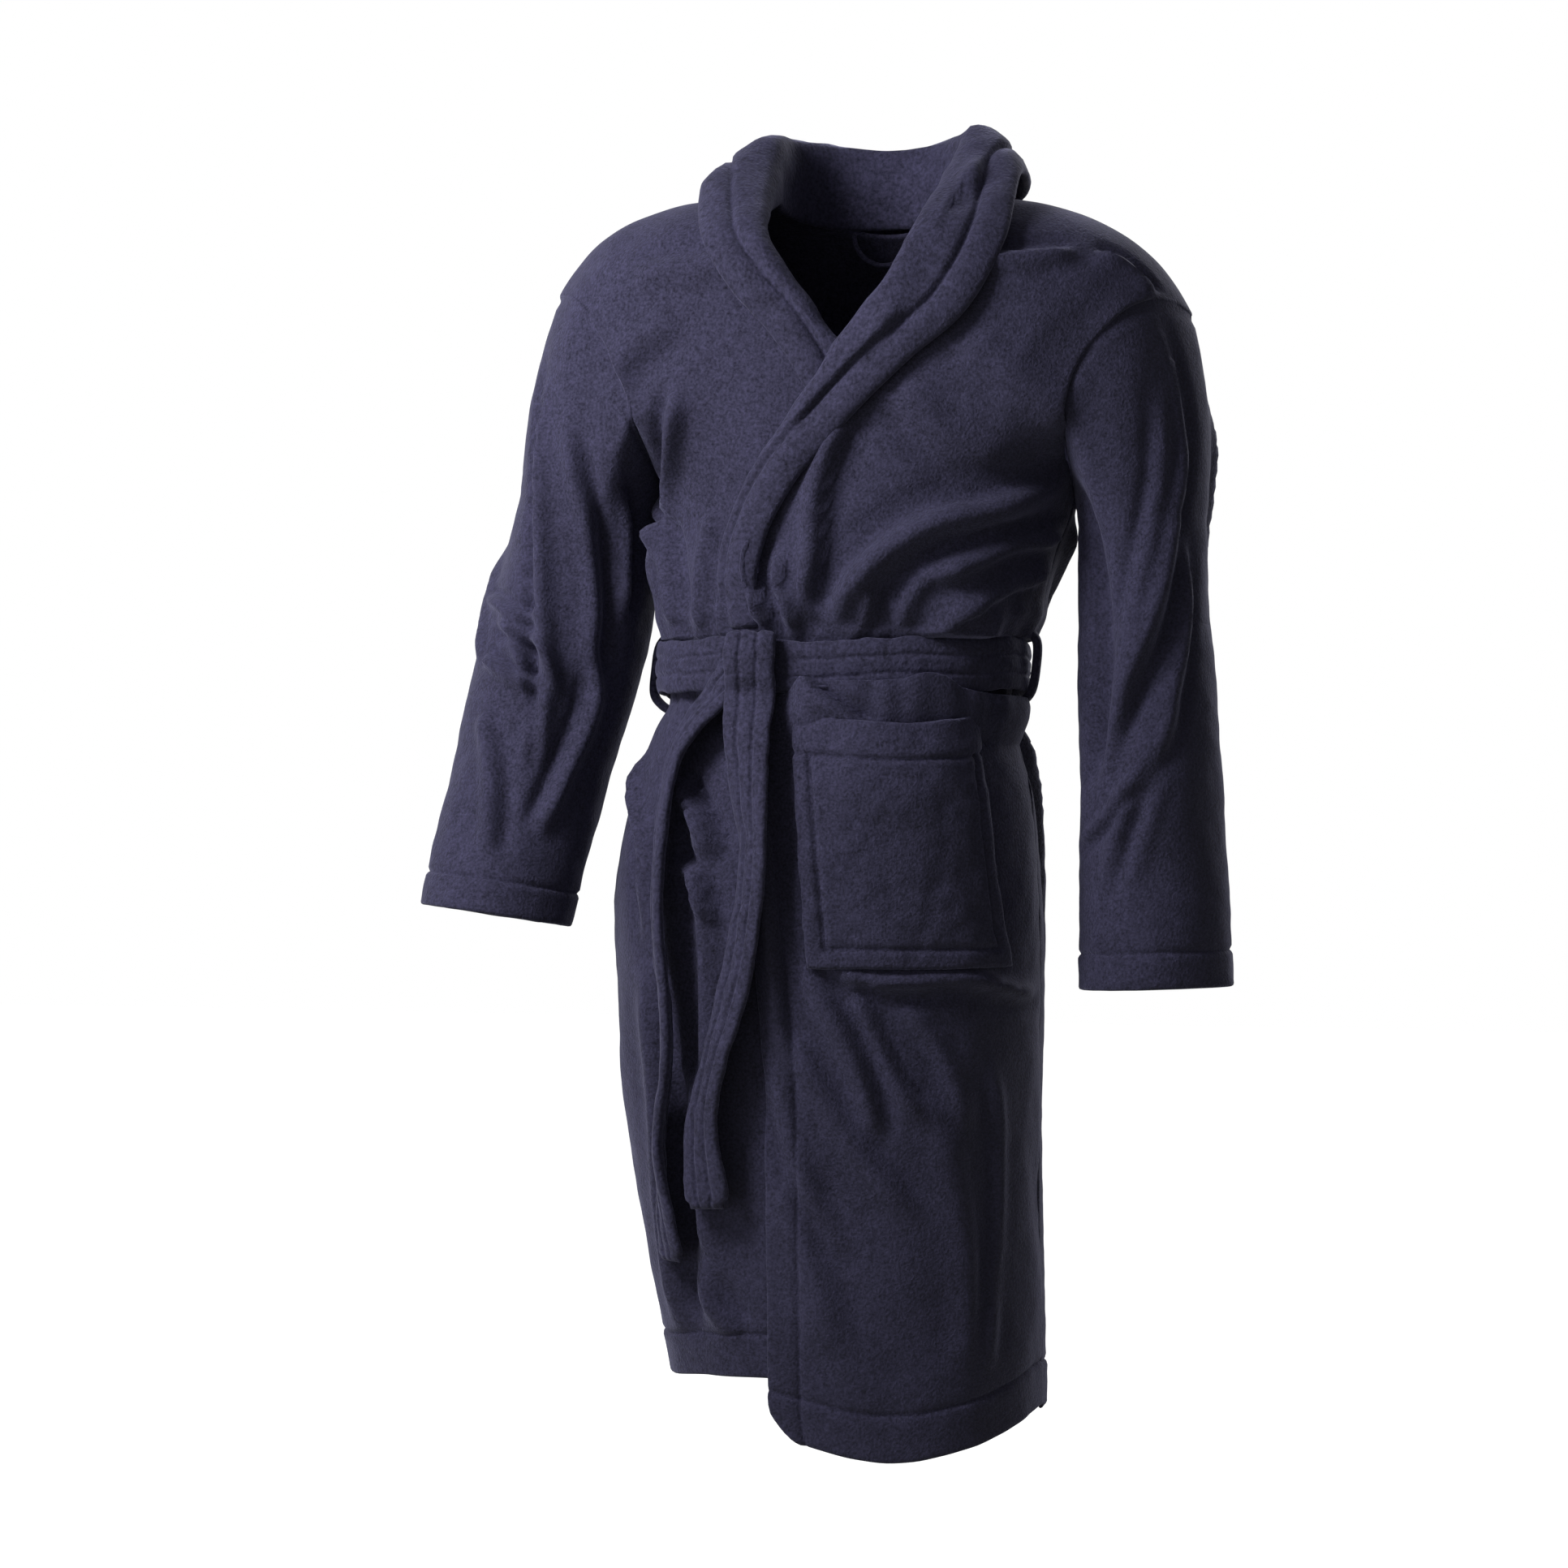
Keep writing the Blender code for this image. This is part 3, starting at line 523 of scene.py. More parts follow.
RIGHT_FRONT_FOLDS = (
    (((-0.148, -0.19), (-0.157, -0.218), (-0.168, -0.274), (-0.18, -0.332),
     (-0.176, -0.385)), 0.01, 0.009, -1),
    (((-0.2, -0.27), (-0.172, -0.33), (-0.15, -0.4)), 0.01, 0.008, 1),
    (((-0.12, -0.3), (-0.128, -0.35), (-0.125, -0.41)), 0.009, 0.006, 1),
    (((-0.15, -0.12), (-0.2, -0.15), (-0.22, -0.18)), 0.016, 0.004, 1),
    (((-0.09, -0.075), (-0.14, -0.08), (-0.2, -0.082)), 0.014, 0.004, -1),
    (((-0.15, -0.54), (-0.138, -0.562), (-0.12, -0.588), (-0.103, -0.612)), 0.008, 0.01, 1),
    (((-0.15, -0.615), (-0.131, -0.632), (-0.12, -0.65), (-0.108, -0.672)), 0.008, 0.009, 1),
    (((-0.13, -0.56), (-0.122, -0.64), (-0.118, -0.74), (-0.116, -0.84)), 0.01, 0.007, -1),
    (((-0.205, -0.52), (-0.202, -0.566), (-0.185, -0.607), (-0.178, -0.7)), 0.009, 0.007, -1),
    (((-0.18, -0.7), (-0.172, -0.82), (-0.165, -0.95), (-0.155, -1.06)), 0.015, 0.008, 1),
    (((-0.13, -0.8), (-0.125, -0.9), (-0.115, -1.04)), 0.014, 0.007, -1),
    (((-0.145, -0.96), (-0.125, -1.01), (-0.09, -1.05)), 0.012, 0.005, 1),
)
BACK_FOLDS = (
    (((0.0, -0.44), (0.01, -0.56), (0.03, -0.72), (0.05, -0.9)), 0.018, 0.008, 1),
    (((-0.08, -0.45), (-0.095, -0.6), (-0.11, -0.78), (-0.1, -1.05)), 0.018, 0.01, -1),
    (((0.09, -0.45), (0.1, -0.58), (0.105, -0.72), (0.1, -1.05)), 0.016, 0.01, 1),
    (((-0.14, -0.46), (-0.15, -0.6), (-0.155, -0.76)), 0.012, 0.007, 1),
    (((0.135, -0.48), (0.145, -0.62), (0.14, -0.8)), 0.012, 0.007, -1),
    (((0.18, -0.24), (0.11, -0.3), (0.05, -0.37), (0.02, -0.42)), 0.015, 0.011, 1),
    (((-0.18, -0.24), (-0.12, -0.3), (-0.07, -0.37), (-0.05, -0.42)), 0.015, 0.011, -1),
    (((0.19, -0.3), (0.15, -0.36), (0.11, -0.41)), 0.01, 0.008, 1),
    (((-0.19, -0.3), (-0.16, -0.36), (-0.12, -0.41)), 0.01, 0.008, -1),
    (((0.06, -0.33), (0.075, -0.37), (0.07, -0.415)), 0.008, 0.006, -1),
    (((-0.02, -0.32), (-0.015, -0.365), (-0.01, -0.415)), 0.008, 0.006, 1),
    (((0.06, -0.08), (0.08, -0.16), (0.06, -0.26)), 0.024, 0.005, 0),
    (((-0.05, -0.07), (-0.08, -0.16), (-0.075, -0.26)), 0.024, 0.005, 0),
    (((-0.02, -0.56), (-0.03, -0.7), (-0.04, -0.86), (-0.035, -1.08)), 0.02, 0.008, 1),
)


def left_front():
    """The overlapping front, with its free lower corner and a roll of cloth over the belt's lower edge."""
    grid, inset, rows = front_grid(LEFT, left_edge, left_point)
    normal = normals(grid, MIDDLE)
    x, z = grid[..., 0], grid[..., 2]
    move = stroke_field(grid, normal, placed(LEFT_FRONT_FOLDS, lambda u, v: front_point(u, v, LAYER)))
    move += uneven(grid, 0.055, 11, 12, 1.8)
    move += gathers(grid, 0.003, 3)
    move = np.maximum(move, -0.0035)
    move *= ease((np.abs(rows)[:, None] + 0 * x) / SEAM_FADE)
    above_hem = rows[:, None] - HEM + 0 * x
    move += groove(inset, EDGE_STITCH) * (z < -0.46)
    move += hem_relief(above_hem)
    grid = grid + normal * move[..., None]
    grid = blouse(belt_roll(grid, rows), rows[:, None] + 0 * x, LEFT)
    return closed_cloth("left_front", rounded_corner(grid, inset, above_hem), CLOTH, MIDDLE)


ROLL_LOW, ROLL_HIGH = -0.512, -0.466
roll_out = through((0, 0), (0.3, 0.011), (0.55, 0.02), (0.75, 0.024), (0.88, 0.023), (0.95, 0.012), (1, 0))
roll_rise = through((0, 0), (0.3, 0.05), (0.55, 0.4), (0.75, 0.85), (0.86, 1.0), (0.94, 0.55), (1, 0))
roll_size = through(
    (-0.066, 0.0), (-0.052, 0.1), (-0.038, 0.5), (-0.026, 1.0), (0.03, 0.95), (0.06, 1.0), (0.085, 0.95),
    (0.11, 0.85), (0.14, 0.95), (0.17, 0.5),
)
roll_top = through(
    (-0.066, 0.0), (-0.045, 0.004), (-0.028, 0.021), (-0.012, 0.016), (0.03, 0.0165), (0.05, 0.018),
    (0.068, 0.024),
    (0.082, 0.021), (0.095, 0.01), (0.13, 0.003), (0.17, 0.001),
)


def belt_roll(grid, rows):
    """The cloth under the belt puffs out and up over the belt's lower edge."""
    share = np.clip((rows - ROLL_LOW) / (ROLL_HIGH - ROLL_LOW), 0, 1)[:, None]
    x = grid[..., 0]
    flat = unit(grid * (1, 1, 0) - np.array((shift_x(BELT_HEIGHT), 0, 0)))
    grid = grid + flat * (roll_out(share) * roll_size(x))[..., None]
    grid[..., 2] += roll_rise(share) * roll_top(x)
    across = (x + 0.004) * 0.57 + (grid[..., 2] + 0.468) * 0.82
    fade = ease((x + 0.022) / 0.01) * ease((0.036 - x) / 0.015) * ease(share / 0.2) * ease((1 - share) / 0.1)
    crease = np.exp(-((across / 0.0035) ** 2)) - 0.5 * np.exp(-(((across + 0.009) / 0.006) ** 2))
    return grid - flat * (0.011 * fade * crease)[..., None]


CORNER_ROUND = 0.024


def rounded_corner(grid, inset, above_hem):
    """Rounds off the free lower corner of a front."""
    u = np.clip(1 - inset / CORNER_ROUND, 0, 1)
    v = np.clip(1 - above_hem / CORNER_ROUND, 0, 1)
    inward = unit(grid[:, 8:9] - grid[:, :1])
    grid = grid + inward * (CORNER_ROUND * u * (1 - np.sqrt(1 - v * v / 2)))[..., None]
    grid[..., 2] += CORNER_ROUND * v * (1 - np.sqrt(1 - u * u / 2))
    return grid


BLOUSE_LOW, BLOUSE_HIGH = -0.418, -0.33
blouse_out = through((0, 0), (0.05, 0.6), (0.11, 1.0), (0.24, 0.95), (0.55, 0.4), (1, 0))
blouse_drop = through((0, 0), (0.06, 0.5), (0.14, 1.0), (0.3, 0.75), (0.65, 0.2), (1, 0))
blouse_size = through((0, 0.013), (20, 0.021), (45, 0.019), (62, 0.008), (78, 0.003), (90, 0.002))


def blouse(grid, rows, side):
    """The cloth above the belt bags out over the belt's top edge, most of all at the sides."""
    share = np.clip((rows - BLOUSE_LOW) / (BLOUSE_HIGH - BLOUSE_LOW), 0, 1)
    flat = grid * (1, 1, 0) - np.array((shift_x(BELT_HEIGHT), 0, 0))
    angle = np.degrees(np.arctan2(np.abs(flat[..., 1]), np.abs(flat[..., 0])))
    size = blouse_size(angle) * (0.8 + 0.2 * side) * (1 + 0.35 * np.sin(np.radians(angle) * 9 + 2 * side))
    grid = grid + unit(flat) * (blouse_out(share) * size)[..., None]
    grid[..., 2] -= 0.3 * blouse_drop(share) * size
    return grid


def right_front():
    """The front underneath. It is smooth where the other front lies on it."""
    grid, inset, rows = front_grid(RIGHT, right_edge, right_point)
    normal = normals(grid, MIDDLE)
    x, z = grid[..., 0], grid[..., 2]
    move = stroke_field(grid, normal, placed(RIGHT_FRONT_FOLDS, lambda u, v: front_point(u, v, 0)))
    move += uneven(grid, 0.055, 21, 22, 1.8)
    move += gathers(grid, 0.003, 5)
    move *= ease((left_edge(z) - 0.004 - x) / 0.02)
    move *= ease((np.abs(rows)[:, None] + 0 * x) / SEAM_FADE)
    above_hem = rows[:, None] - HEM + 0 * x
    move += hem_relief(above_hem)
    grid = blouse(grid + normal * move[..., None], rows[:, None] + 0 * x, RIGHT)
    return closed_cloth("right_front", rounded_corner(grid, inset, above_hem), CLOTH, MIDDLE)


def neck_row(x):
    back = NECK_BACK * np.sqrt(np.clip(1 - (x / NECK_HALF_WIDTH) ** 2, 0, 1))
    return -SHOULDER_ROUND * (1 - np.sqrt(1 - back * back))


def back():
    rows = panel_rows()
    half = np.radians(np.concatenate([np.linspace(0, 60, 32), np.linspace(61.5, 88.5, 19)]))
    angles = np.concatenate([half, [math.pi / 2], math.pi - half[::-1]])
    angle, row = np.meshgrid(angles, rows)
    x = shift_x(row) - reach(row) * np.cos(angle)
    cut = row + neck_row(x) * ease((row + 0.13) / 0.13)
    grid = dropped(body_point(RIGHT, BACK, angle, cut), back_hem, cut)
    normal = normals(grid, MIDDLE)
    move = stroke_field(grid, normal, placed(BACK_FOLDS, back_point))
    move += uneven(grid, 0.06, 31, 32, 1.8)
    move += gathers(grid, 0.0035, 7)
    move *= ease(np.abs(row) / SEAM_FADE)
    above_hem = row - HEM
    move += hem_relief(above_hem)
    grid = blouse(grid + normal * move[..., None], row, np.sign(x))
    return closed_cloth("back", grid, CLOTH, MIDDLE)


# ---------------------------------------------------------------- sleeves
SLEEVES = {
    LEFT: (
        ((0.256, -0.002, -0.315), 0.058, 0.092), ((0.258, -0.006, -0.4), 0.06, 0.086),
        ((0.262, -0.01, -0.48), 0.063, 0.081), ((0.268, -0.02, -0.6), 0.066, 0.074),
        ((0.273, -0.03, -0.73), 0.07, 0.069),
    ),
    RIGHT: (
        ((-0.274, -0.006, -0.315), 0.071, 0.09), ((-0.29, -0.018, -0.4), 0.078, 0.082),
        ((-0.305, -0.034, -0.475), 0.078, 0.074), ((-0.321, -0.066, -0.57), 0.074, 0.069),
        ((-0.335, -0.1, -0.668), 0.07, 0.068),
    ),
}
RING_LEAN = 0.3
AROUND = 112
CUFF_STITCH = 0.03
CROWN, CROWN_LENGTH = 0.009, 0.13  # how far the top of a sleeve rounds outward, and over what length
UPPER_END = 0.4  # share of a sleeve's length at which its two pieces meet


def armhole_ring(side, angles):
    row = ARMPIT * (1 - np.clip((1 + np.cos(angles)) / 2, 0, 0.998))
    front = body_point(side, FRONT, 0 * angles, row)
    rear = body_point(side, BACK, 0 * angles, row)
    return np.where((np.sin(angles) > 0)[:, None], front, rear)


def sleeve_rings(side, angles):
    """A sleeve's main rings: the armhole seam, then one at each station down the arm."""
    stations = SLEEVES[side]
    centres = np.array([centre for centre, _, _ in stations])
    down = unit(np.gradient(centres, axis=0))
    rings = [armhole_ring(side, angles)]
    for (_, width, deep), centre, axis in zip(stations, centres, down):
        forward = unit(np.array((0, -1, 0)) + RING_LEAN * axis * axis[1])
        outward = unit(np.array((side, 0, 0)) - axis * side * axis[0] - forward * side * forward[0])
        rings.append(
            centre + outward * width * np.cos(angles)[:, None] + forward * deep * np.sin(angles)[:, None]
        )
    return np.array(rings)


LEFT_SLEEVE_FOLDS = (
    (((0.28, -0.115), (0.295, -0.17), (0.297, -0.259), (0.284, -0.368), (0.252, -0.465),
     (0.222, -0.552)), 0.01, 0.006, 1),
    (((0.28, -0.171), (0.28, -0.29), (0.264, -0.377), (0.236, -0.487)), 0.009, 0.003, -1),
    # the hollow along its inner side
    (((0.206, -0.27), (0.216, -0.34), (0.226, -0.42), (0.222, -0.5), (0.212, -0.56)), 0.016, -0.01, 0),
    (((0.298, -0.3), (0.302, -0.4), (0.29, -0.48), (0.252, -0.574), (0.23, -0.661)), 0.01, 0.005, 1),
    (((0.3, -0.47), (0.28, -0.552), (0.248, -0.661)), 0.009, 0.003, -1),
    (((0.26, -0.54), (0.232, -0.58), (0.21, -0.6)), 0.006, 0.004, 1),
)
RIGHT_SLEEVE_FOLDS = (
    (((-0.296, -0.13), (-0.296, -0.233), (-0.291, -0.347), (-0.285, -0.461),
     (-0.292, -0.54)), 0.009, 0.008, -1),
    (((-0.262, -0.2), (-0.25, -0.3), (-0.245, -0.39), (-0.255, -0.47)), 0.01, 0.007, 1),
    (((-0.355, -0.372), (-0.336, -0.38), (-0.314, -0.392), (-0.287, -0.389)), 0.006, 0.006, 1),
    (((-0.35, -0.43), (-0.338, -0.437), (-0.31, -0.453), (-0.285, -0.449)), 0.006, 0.006, 1),
    (((-0.34, -0.395), (-0.313, -0.407), (-0.286, -0.423), (-0.272, -0.476)), 0.006, 0.006, -1),
    (((-0.33, -0.4), (-0.31, -0.43), (-0.3, -0.48), (-0.302, -0.54)), 0.006, 0.005, 1),
    (((-0.35, -0.48), (-0.33, -0.54), (-0.326, -0.62)), 0.01, 0.005, 1),
    (((-0.24, -0.42), (-0.248, -0.48), (-0.265, -0.54), (-0.285, -0.6)), 0.009, 0.007, -1),
    (((-0.228, -0.25), (-0.22, -0.31), (-0.225, -0.4)), 0.008, 0.006, 1),
    (((-0.36, -0.3), (-0.355, -0.36), (-0.358, -0.44)), 0.01, 0.005, 0),
)
SLEEVE_BACK_FOLDS = (  # by distance from the middle, for either sleeve
    (((0.31, -0.18), (0.3, -0.3), (0.275, -0.4), (0.245, -0.48)), 0.01, 0.008, 1),
    (((0.24, -0.44), (0.28, -0.475), (0.315, -0.48)), 0.008, 0.007, 1),
    (((0.245, -0.5), (0.285, -0.52), (0.31, -0.56)), 0.008, 0.006, -1),
    (((0.27, -0.24), (0.255, -0.34), (0.235, -0.42)), 0.01, 0.006, -1),
    (((0.3, -0.54), (0.29, -0.61), (0.3, -0.68)), 0.01, 0.005, 1),
)


def sleeve(side, word, folds):
    """A sleeve in two pieces that meet on the upper arm."""
    angles = np.linspace(0, 2 * math.pi, AROUND + 1)[:-1]
    main = sleeve_rings(side, angles)
    grid = curve(main, 132)
    length = np.concatenate([[0], np.linalg.norm(np.diff(grid.mean(1), axis=0), axis=-1).cumsum()])
    stitch = length[-1] - CUFF_STITCH
    near = stitch + np.array([-0.004, -0.0015, 0, 0.0015, 0.004])
    end = np.linspace(stitch + 0.008, length[-1], 5)
    places = np.concatenate([np.arange(0, stitch - 0.006, STEP * 0.8), near, end])
    grid = np.stack([
        np.stack([np.interp(places, length, grid[:, j, k]) for k in range(3)], -1) for j in range(AROUND)
    ], 1)
    normal = normals(grid, grid.mean(1, keepdims=True), closed=True)
    front = placed(folds, lambda u, v: sleeve_point(side, FRONT, u, v))
    rear = placed(SLEEVE_BACK_FOLDS, lambda u, v: sleeve_point(side, BACK, side * u, v))
    move = stroke_field(grid, normal, front + rear)
    move += uneven(grid, 0.05, 41 + side, 45 + side, 1.6)
    move *= ease(places / SEAM_FADE)[:, None]
    move += groove(places, stitch)[:, None] + 0.0008 * (places > stitch)[:, None]
    move += groove(places, 0.004, 0.0022, 0.0035)[:, None]
    grid = grid + normal * move[..., None]
    crown = np.clip(places / CROWN_LENGTH, 0, 1)
    grid[..., 0] += side * CROWN * (4 * crown * (1 - crown))[:, None] * (1 + np.cos(angles)) / 2
    cut = int(UPPER_END * len(places))
    centre = grid.mean(1, keepdims=True)
    top = closed_cloth(f"{word}_sleeve_top", grid[:cut + 1], CLOTH, centre[:cut + 1], closed=True)
    bottom = closed_cloth(f"{word}_sleeve_bottom", grid[cut:], CLOTH, centre[cut:], closed=True)
    return top, bottom


# ---------------------------------------------------------------- collar
COLLAR_CLOTH = 0.008
COLLAR_OFF = 0.003 + COLLAR_CLOTH / 2
BAND = 0.03

# Beside and behind the neck, on the wearer's left: neck seam, top of the stand, fold, middle, free edge.
NECK_STATIONS = (
    ((0.0, 0.08, -0.012), (0.0, 0.082, 0.034), (0.0, 0.092, 0.06), (0.0, 0.112, 0.022),
     (0.0, 0.124, -0.028)),
    ((0.046, 0.072, -0.012), (0.047, 0.074, 0.038), (0.051, 0.084, 0.064), (0.062, 0.106, 0.03),
     (0.072, 0.116, -0.02)),
    ((0.079, 0.042, -0.007), (0.081, 0.043, 0.044), (0.089, 0.048, 0.067), (0.108, 0.06, 0.046),
     (0.128, 0.072, 0.006)),
    ((0.087, 0.001, -0.004), (0.087, 0.003, 0.038), (0.096, 0.005, 0.06), (0.124, 0.01, 0.05),
     (0.146, 0.012, 0.013)),
    ((0.083, -0.03, -0.004), (0.083, -0.036, 0.01), (0.093, -0.042, 0.022), (0.122, -0.048, 0.022),
     (0.148, -0.046, 0.008)),
)
# Down the front: (fold line X, Z, free edge X, Z, how much the fold puffs it off the front).
LEFT_LAPEL = (
    (0.076, -0.042, 0.148, -0.062, 0.006), (0.052, -0.097, 0.116, -0.128, 0.006),
    (0.017, -0.141, 0.066, -0.17, 0.005), (-0.012, -0.183, 0.026, -0.207, 0.003),
    (-0.046, -0.231, -0.012, -0.247, 0.002), (-0.071, -0.267, -0.04, -0.28, 0.001),
    (-0.092, -0.307, -0.062, -0.317, 0.001), (-0.104, -0.357, -0.074, -0.36, 0.001),
    (-0.104, -0.403, -0.074, -0.403, 0.0),
)
RIGHT_LAPEL = (
    (-0.078, -0.042, -0.128, -0.05, 0.006), (-0.058, -0.078, -0.096, -0.1, 0.005),
    (-0.033, -0.112, -0.062, -0.138, 0.004), (-0.012, -0.144, -0.038, -0.172, 0.001),
    (0.01, -0.168, -0.02, -0.205, -0.005),
)


def lapel_station(side, fold_x, fold_z, free_x, free_z, puff, layer):
    """A collar's section on the front: from behind the front's edge it rolls round it and lies on top."""
    top = layer + COLLAR_OFF + puff
    middle_x, middle_z = (fold_x + free_x) / 2, (fold_z + free_z) / 2
    return [
        front_point(fold_x + side * 0.003, fold_z, layer - 0.004),
        front_point(fold_x - side * 0.003, fold_z, layer + 0.003),
        front_point(fold_x + side * 0.005, fold_z, top + 0.001),
        front_point(middle_x, middle_z, top + 0.001),
        front_point(free_x, free_z, top - puff / 2),
    ]


COLLAR_FOLDS = (
    (((0.066, -0.15, -0.11), (0.03, -0.16, -0.16), (-0.01, -0.165, -0.2),
     (-0.04, -0.165, -0.235)), 0.009, 0.004, 1),
    (((-0.1, -0.16, -0.35), (-0.098, -0.155, -0.38), (-0.088, -0.148, -0.405)), 0.007, 0.005, 1),
    (((0.118, -0.06, 0.03), (0.11, -0.08, -0.01), (0.092, -0.11, -0.055)), 0.01, 0.004, 1),
)


def collar():
    """The shawl collar in one piece, from under the overlap round the neck to the belt."""
    left = [[np.array(p) for p in station] for station in NECK_STATIONS]
    right = [[p * (-1, 1, 1) for p in station] for station in left[:0:-1]]
    stations = [lapel_station(RIGHT, *row, 0.0) for row in RIGHT_LAPEL[::-1]]
    stations += right + left
    stations += [lapel_station(LEFT, *row, LAYER) for row in LEFT_LAPEL]
    rough = curve(np.array(stations), 190)
    grid, inset = [], []
    for section in rough:
        fine = curve(section, 80)[::-1]
        length = np.concatenate([[0], np.linalg.norm(np.diff(fine, axis=0), axis=-1).cumsum()])
        distance = spaced(length[-1], BAND, 22)
        grid.append(np.stack([np.interp(distance, length, fine[:, k]) for k in range(3)], -1))
        inset.append(distance)
    grid, inset = np.array(grid), np.array(inset)
    normal = normals(grid, (0, 0, 0))
    move = stroke_field(grid, normal, COLLAR_FOLDS)
    move += lumps(grid, 0.035, 0.002, 51) + lumps(grid, 0.014, 0.0008, 52)
    move += groove(inset, BAND, 0.004, 0.0032)
    move += 0.002 * np.sin(math.pi * np.clip(inset / BAND, 0, 1)) ** 0.7
    grid = grid + normal * (move + COLLAR_CLOTH / 2)[..., None]
    thin = COLLAR_CLOTH - 0.004 * ease(1 - np.arange(len(grid)) / 12)
    return closed_cloth("shawl_collar", grid, thin, (0, 0, 0))


# ---------------------------------------------------------------- pocket
POCKET_TOP, POCKET_BOTTOM = -0.486, -0.709
POCKET_CLOTH = 0.006
POCKET_HEM = 0.034
POCKET_STITCH = 0.014


def pocket():
    """The patch pocket: a turned top hem, stitching inside the other edges, and a slightly open mouth."""
    up = np.linspace(0, 1, 112)
    across = np.linspace(0, 1, 100)
    across, up = np.meshgrid(across, up)
    sag = 0.01 * np.sin(math.pi * across) * up**3
    row = POCKET_BOTTOM + (POCKET_TOP - POCKET_BOTTOM) * up - sag
    inner, outer = -0.0185 - 0.0175 * up, 0.142 - 0.031 * up
    low = np.arccos(np.clip((outer - shift_x(row)) / reach(row), -1, 1))
    high = np.arccos(np.clip((inner - shift_x(row)) / reach(row), -1, 1))
    angle = low * (1 - across) + high * across
    x = shift_x(row) + reach(row) * np.cos(angle)
    gape = np.sin(math.pi * across) ** 0.7 * (0.12 + 0.88 * ease(up / 0.9) ** 1.5)
    off = overlap_off(x, row) + 0.001 + POCKET_CLOTH + 0.017 * gape
    grid = body_point(LEFT, FRONT, angle, row, off)
    normal = normals(grid, MIDDLE)
    width, height = 0.2, POCKET_TOP - POCKET_BOTTOM
    side_in = np.minimum(across, 1 - across) * width
    bottom_in, top_in = up * height, (1 - up) * height
    move = lumps(grid, 0.03, 0.0022, 61) + lumps(grid, 0.014, 0.001, 62)
    below_hem = top_in > POCKET_HEM
    frame_in = np.where(below_hem, np.minimum(side_in, bottom_in), 1.0)
    move += groove(frame_in, POCKET_STITCH, 0.0028, 0.003) + groove(top_in, POCKET_HEM, 0.0028, 0.003)
    move += 0.0014 * ((frame_in < POCKET_STITCH) | ~below_hem)
    return closed_cloth("pocket_patch", grid + normal * move[..., None], POCKET_CLOTH, MIDDLE)


# ---------------------------------------------------------------- belt
CHANNELS = 3
END_ROUND = 0.014
TAIL_CLOTH = 0.011


def strap_section(width, thickness, count=46):
    """A strap's cross-section as (across, out) pairs: three stitched channels a face and round edges."""
    share = np.linspace(-1, 1, count)
    edge = np.sqrt(np.clip(1 - np.abs(share) ** 4, 0, 1))
    seams = sum(np.exp(-(((share - seam) / 0.09) ** 2)) for seam in (-1 / CHANNELS, 1 / CHANNELS))
    out = thickness / 2 * edge * (1 - 0.38 * seams)
    upper = np.stack([share * width / 2, out], -1)
    lower = np.stack([share[::-1] * width / 2, -out[::-1]], -1)
    return np.concatenate([upper, lower[1:-1]])


def strap(path, face, twist, width, thickness, squeeze):
    """A strap swept along a path. Face is the way its front looks, turned by twist (in degrees)."""
    tangent = unit(np.gradient(path, axis=0))
    face = unit(face - tangent * np.sum(face * tangent, axis=-1, keepdims=True))
    side = np.cross(tangent, face)
    turn = np.radians(twist)[:, None]
    out = face * np.cos(turn) + side * np.sin(turn)
    across = side * np.cos(turn) - face * np.sin(turn)
    section = strap_section(width, thickness)
    from_end = np.linalg.norm(np.diff(path, axis=0), axis=1)[::-1].cumsum()[::-1]
    corner = np.clip(1 - np.append(from_end, 0) / END_ROUND, 0, 1)
    squeeze = squeeze * (0.72 + 0.28 * np.sqrt(1 - corner**2))
    rows = [
        p + across[i] * (section[:, :1] * squeeze[i]) + out[i] * section[:, 1:]
        for i, p in enumerate(path)
    ]
    return rows, tangent


def ended(rows, path, tangent, thickness):
    """Closes a strap's two ends with a rounded fold."""
    first, last = rows[0], rows[-1]
    start, stop = path[0], path[-1]
    cap = []
    for share, grow in ((0.75, 0.3), (0.25, 0.45), (0.0, 0.5)):
        cap.append((
            start + shrink(first - start, share) - tangent[0] * thickness * grow,
            stop + shrink(last - stop, share) + tangent[-1] * thickness * grow,
        ))
    return [cap[2][0], cap[1][0], cap[0][0], *rows, cap[0][1], cap[1][1], cap[2][1]]


def shrink(ring, share):
    """Flattens a strap's ring of points towards the strap's middle line."""
    half = len(ring) // 2
    count = half + 1
    upper = ring[:count]
    lower = np.concatenate([ring[:1], ring[count:][::-1], ring[count - 1:count]])
    middle = (upper + lower) / 2
    upper = middle + (upper - middle) * share
    lower = middle + (lower - middle) * share
    return np.concatenate([upper, lower[1:-1][::-1]])


def roughened(rows, seed, height=0.002):
    """Uneven plush on a strap: each point moves a little from the strap's middle line."""
    grid = np.array(rows)
    middle = grid.mean(1, keepdims=True)
    move = lumps(grid, 0.02, height, seed) + lumps(grid, 0.009, 0.0006, seed + 100)
    return grid + unit(grid - middle) * move[..., None]


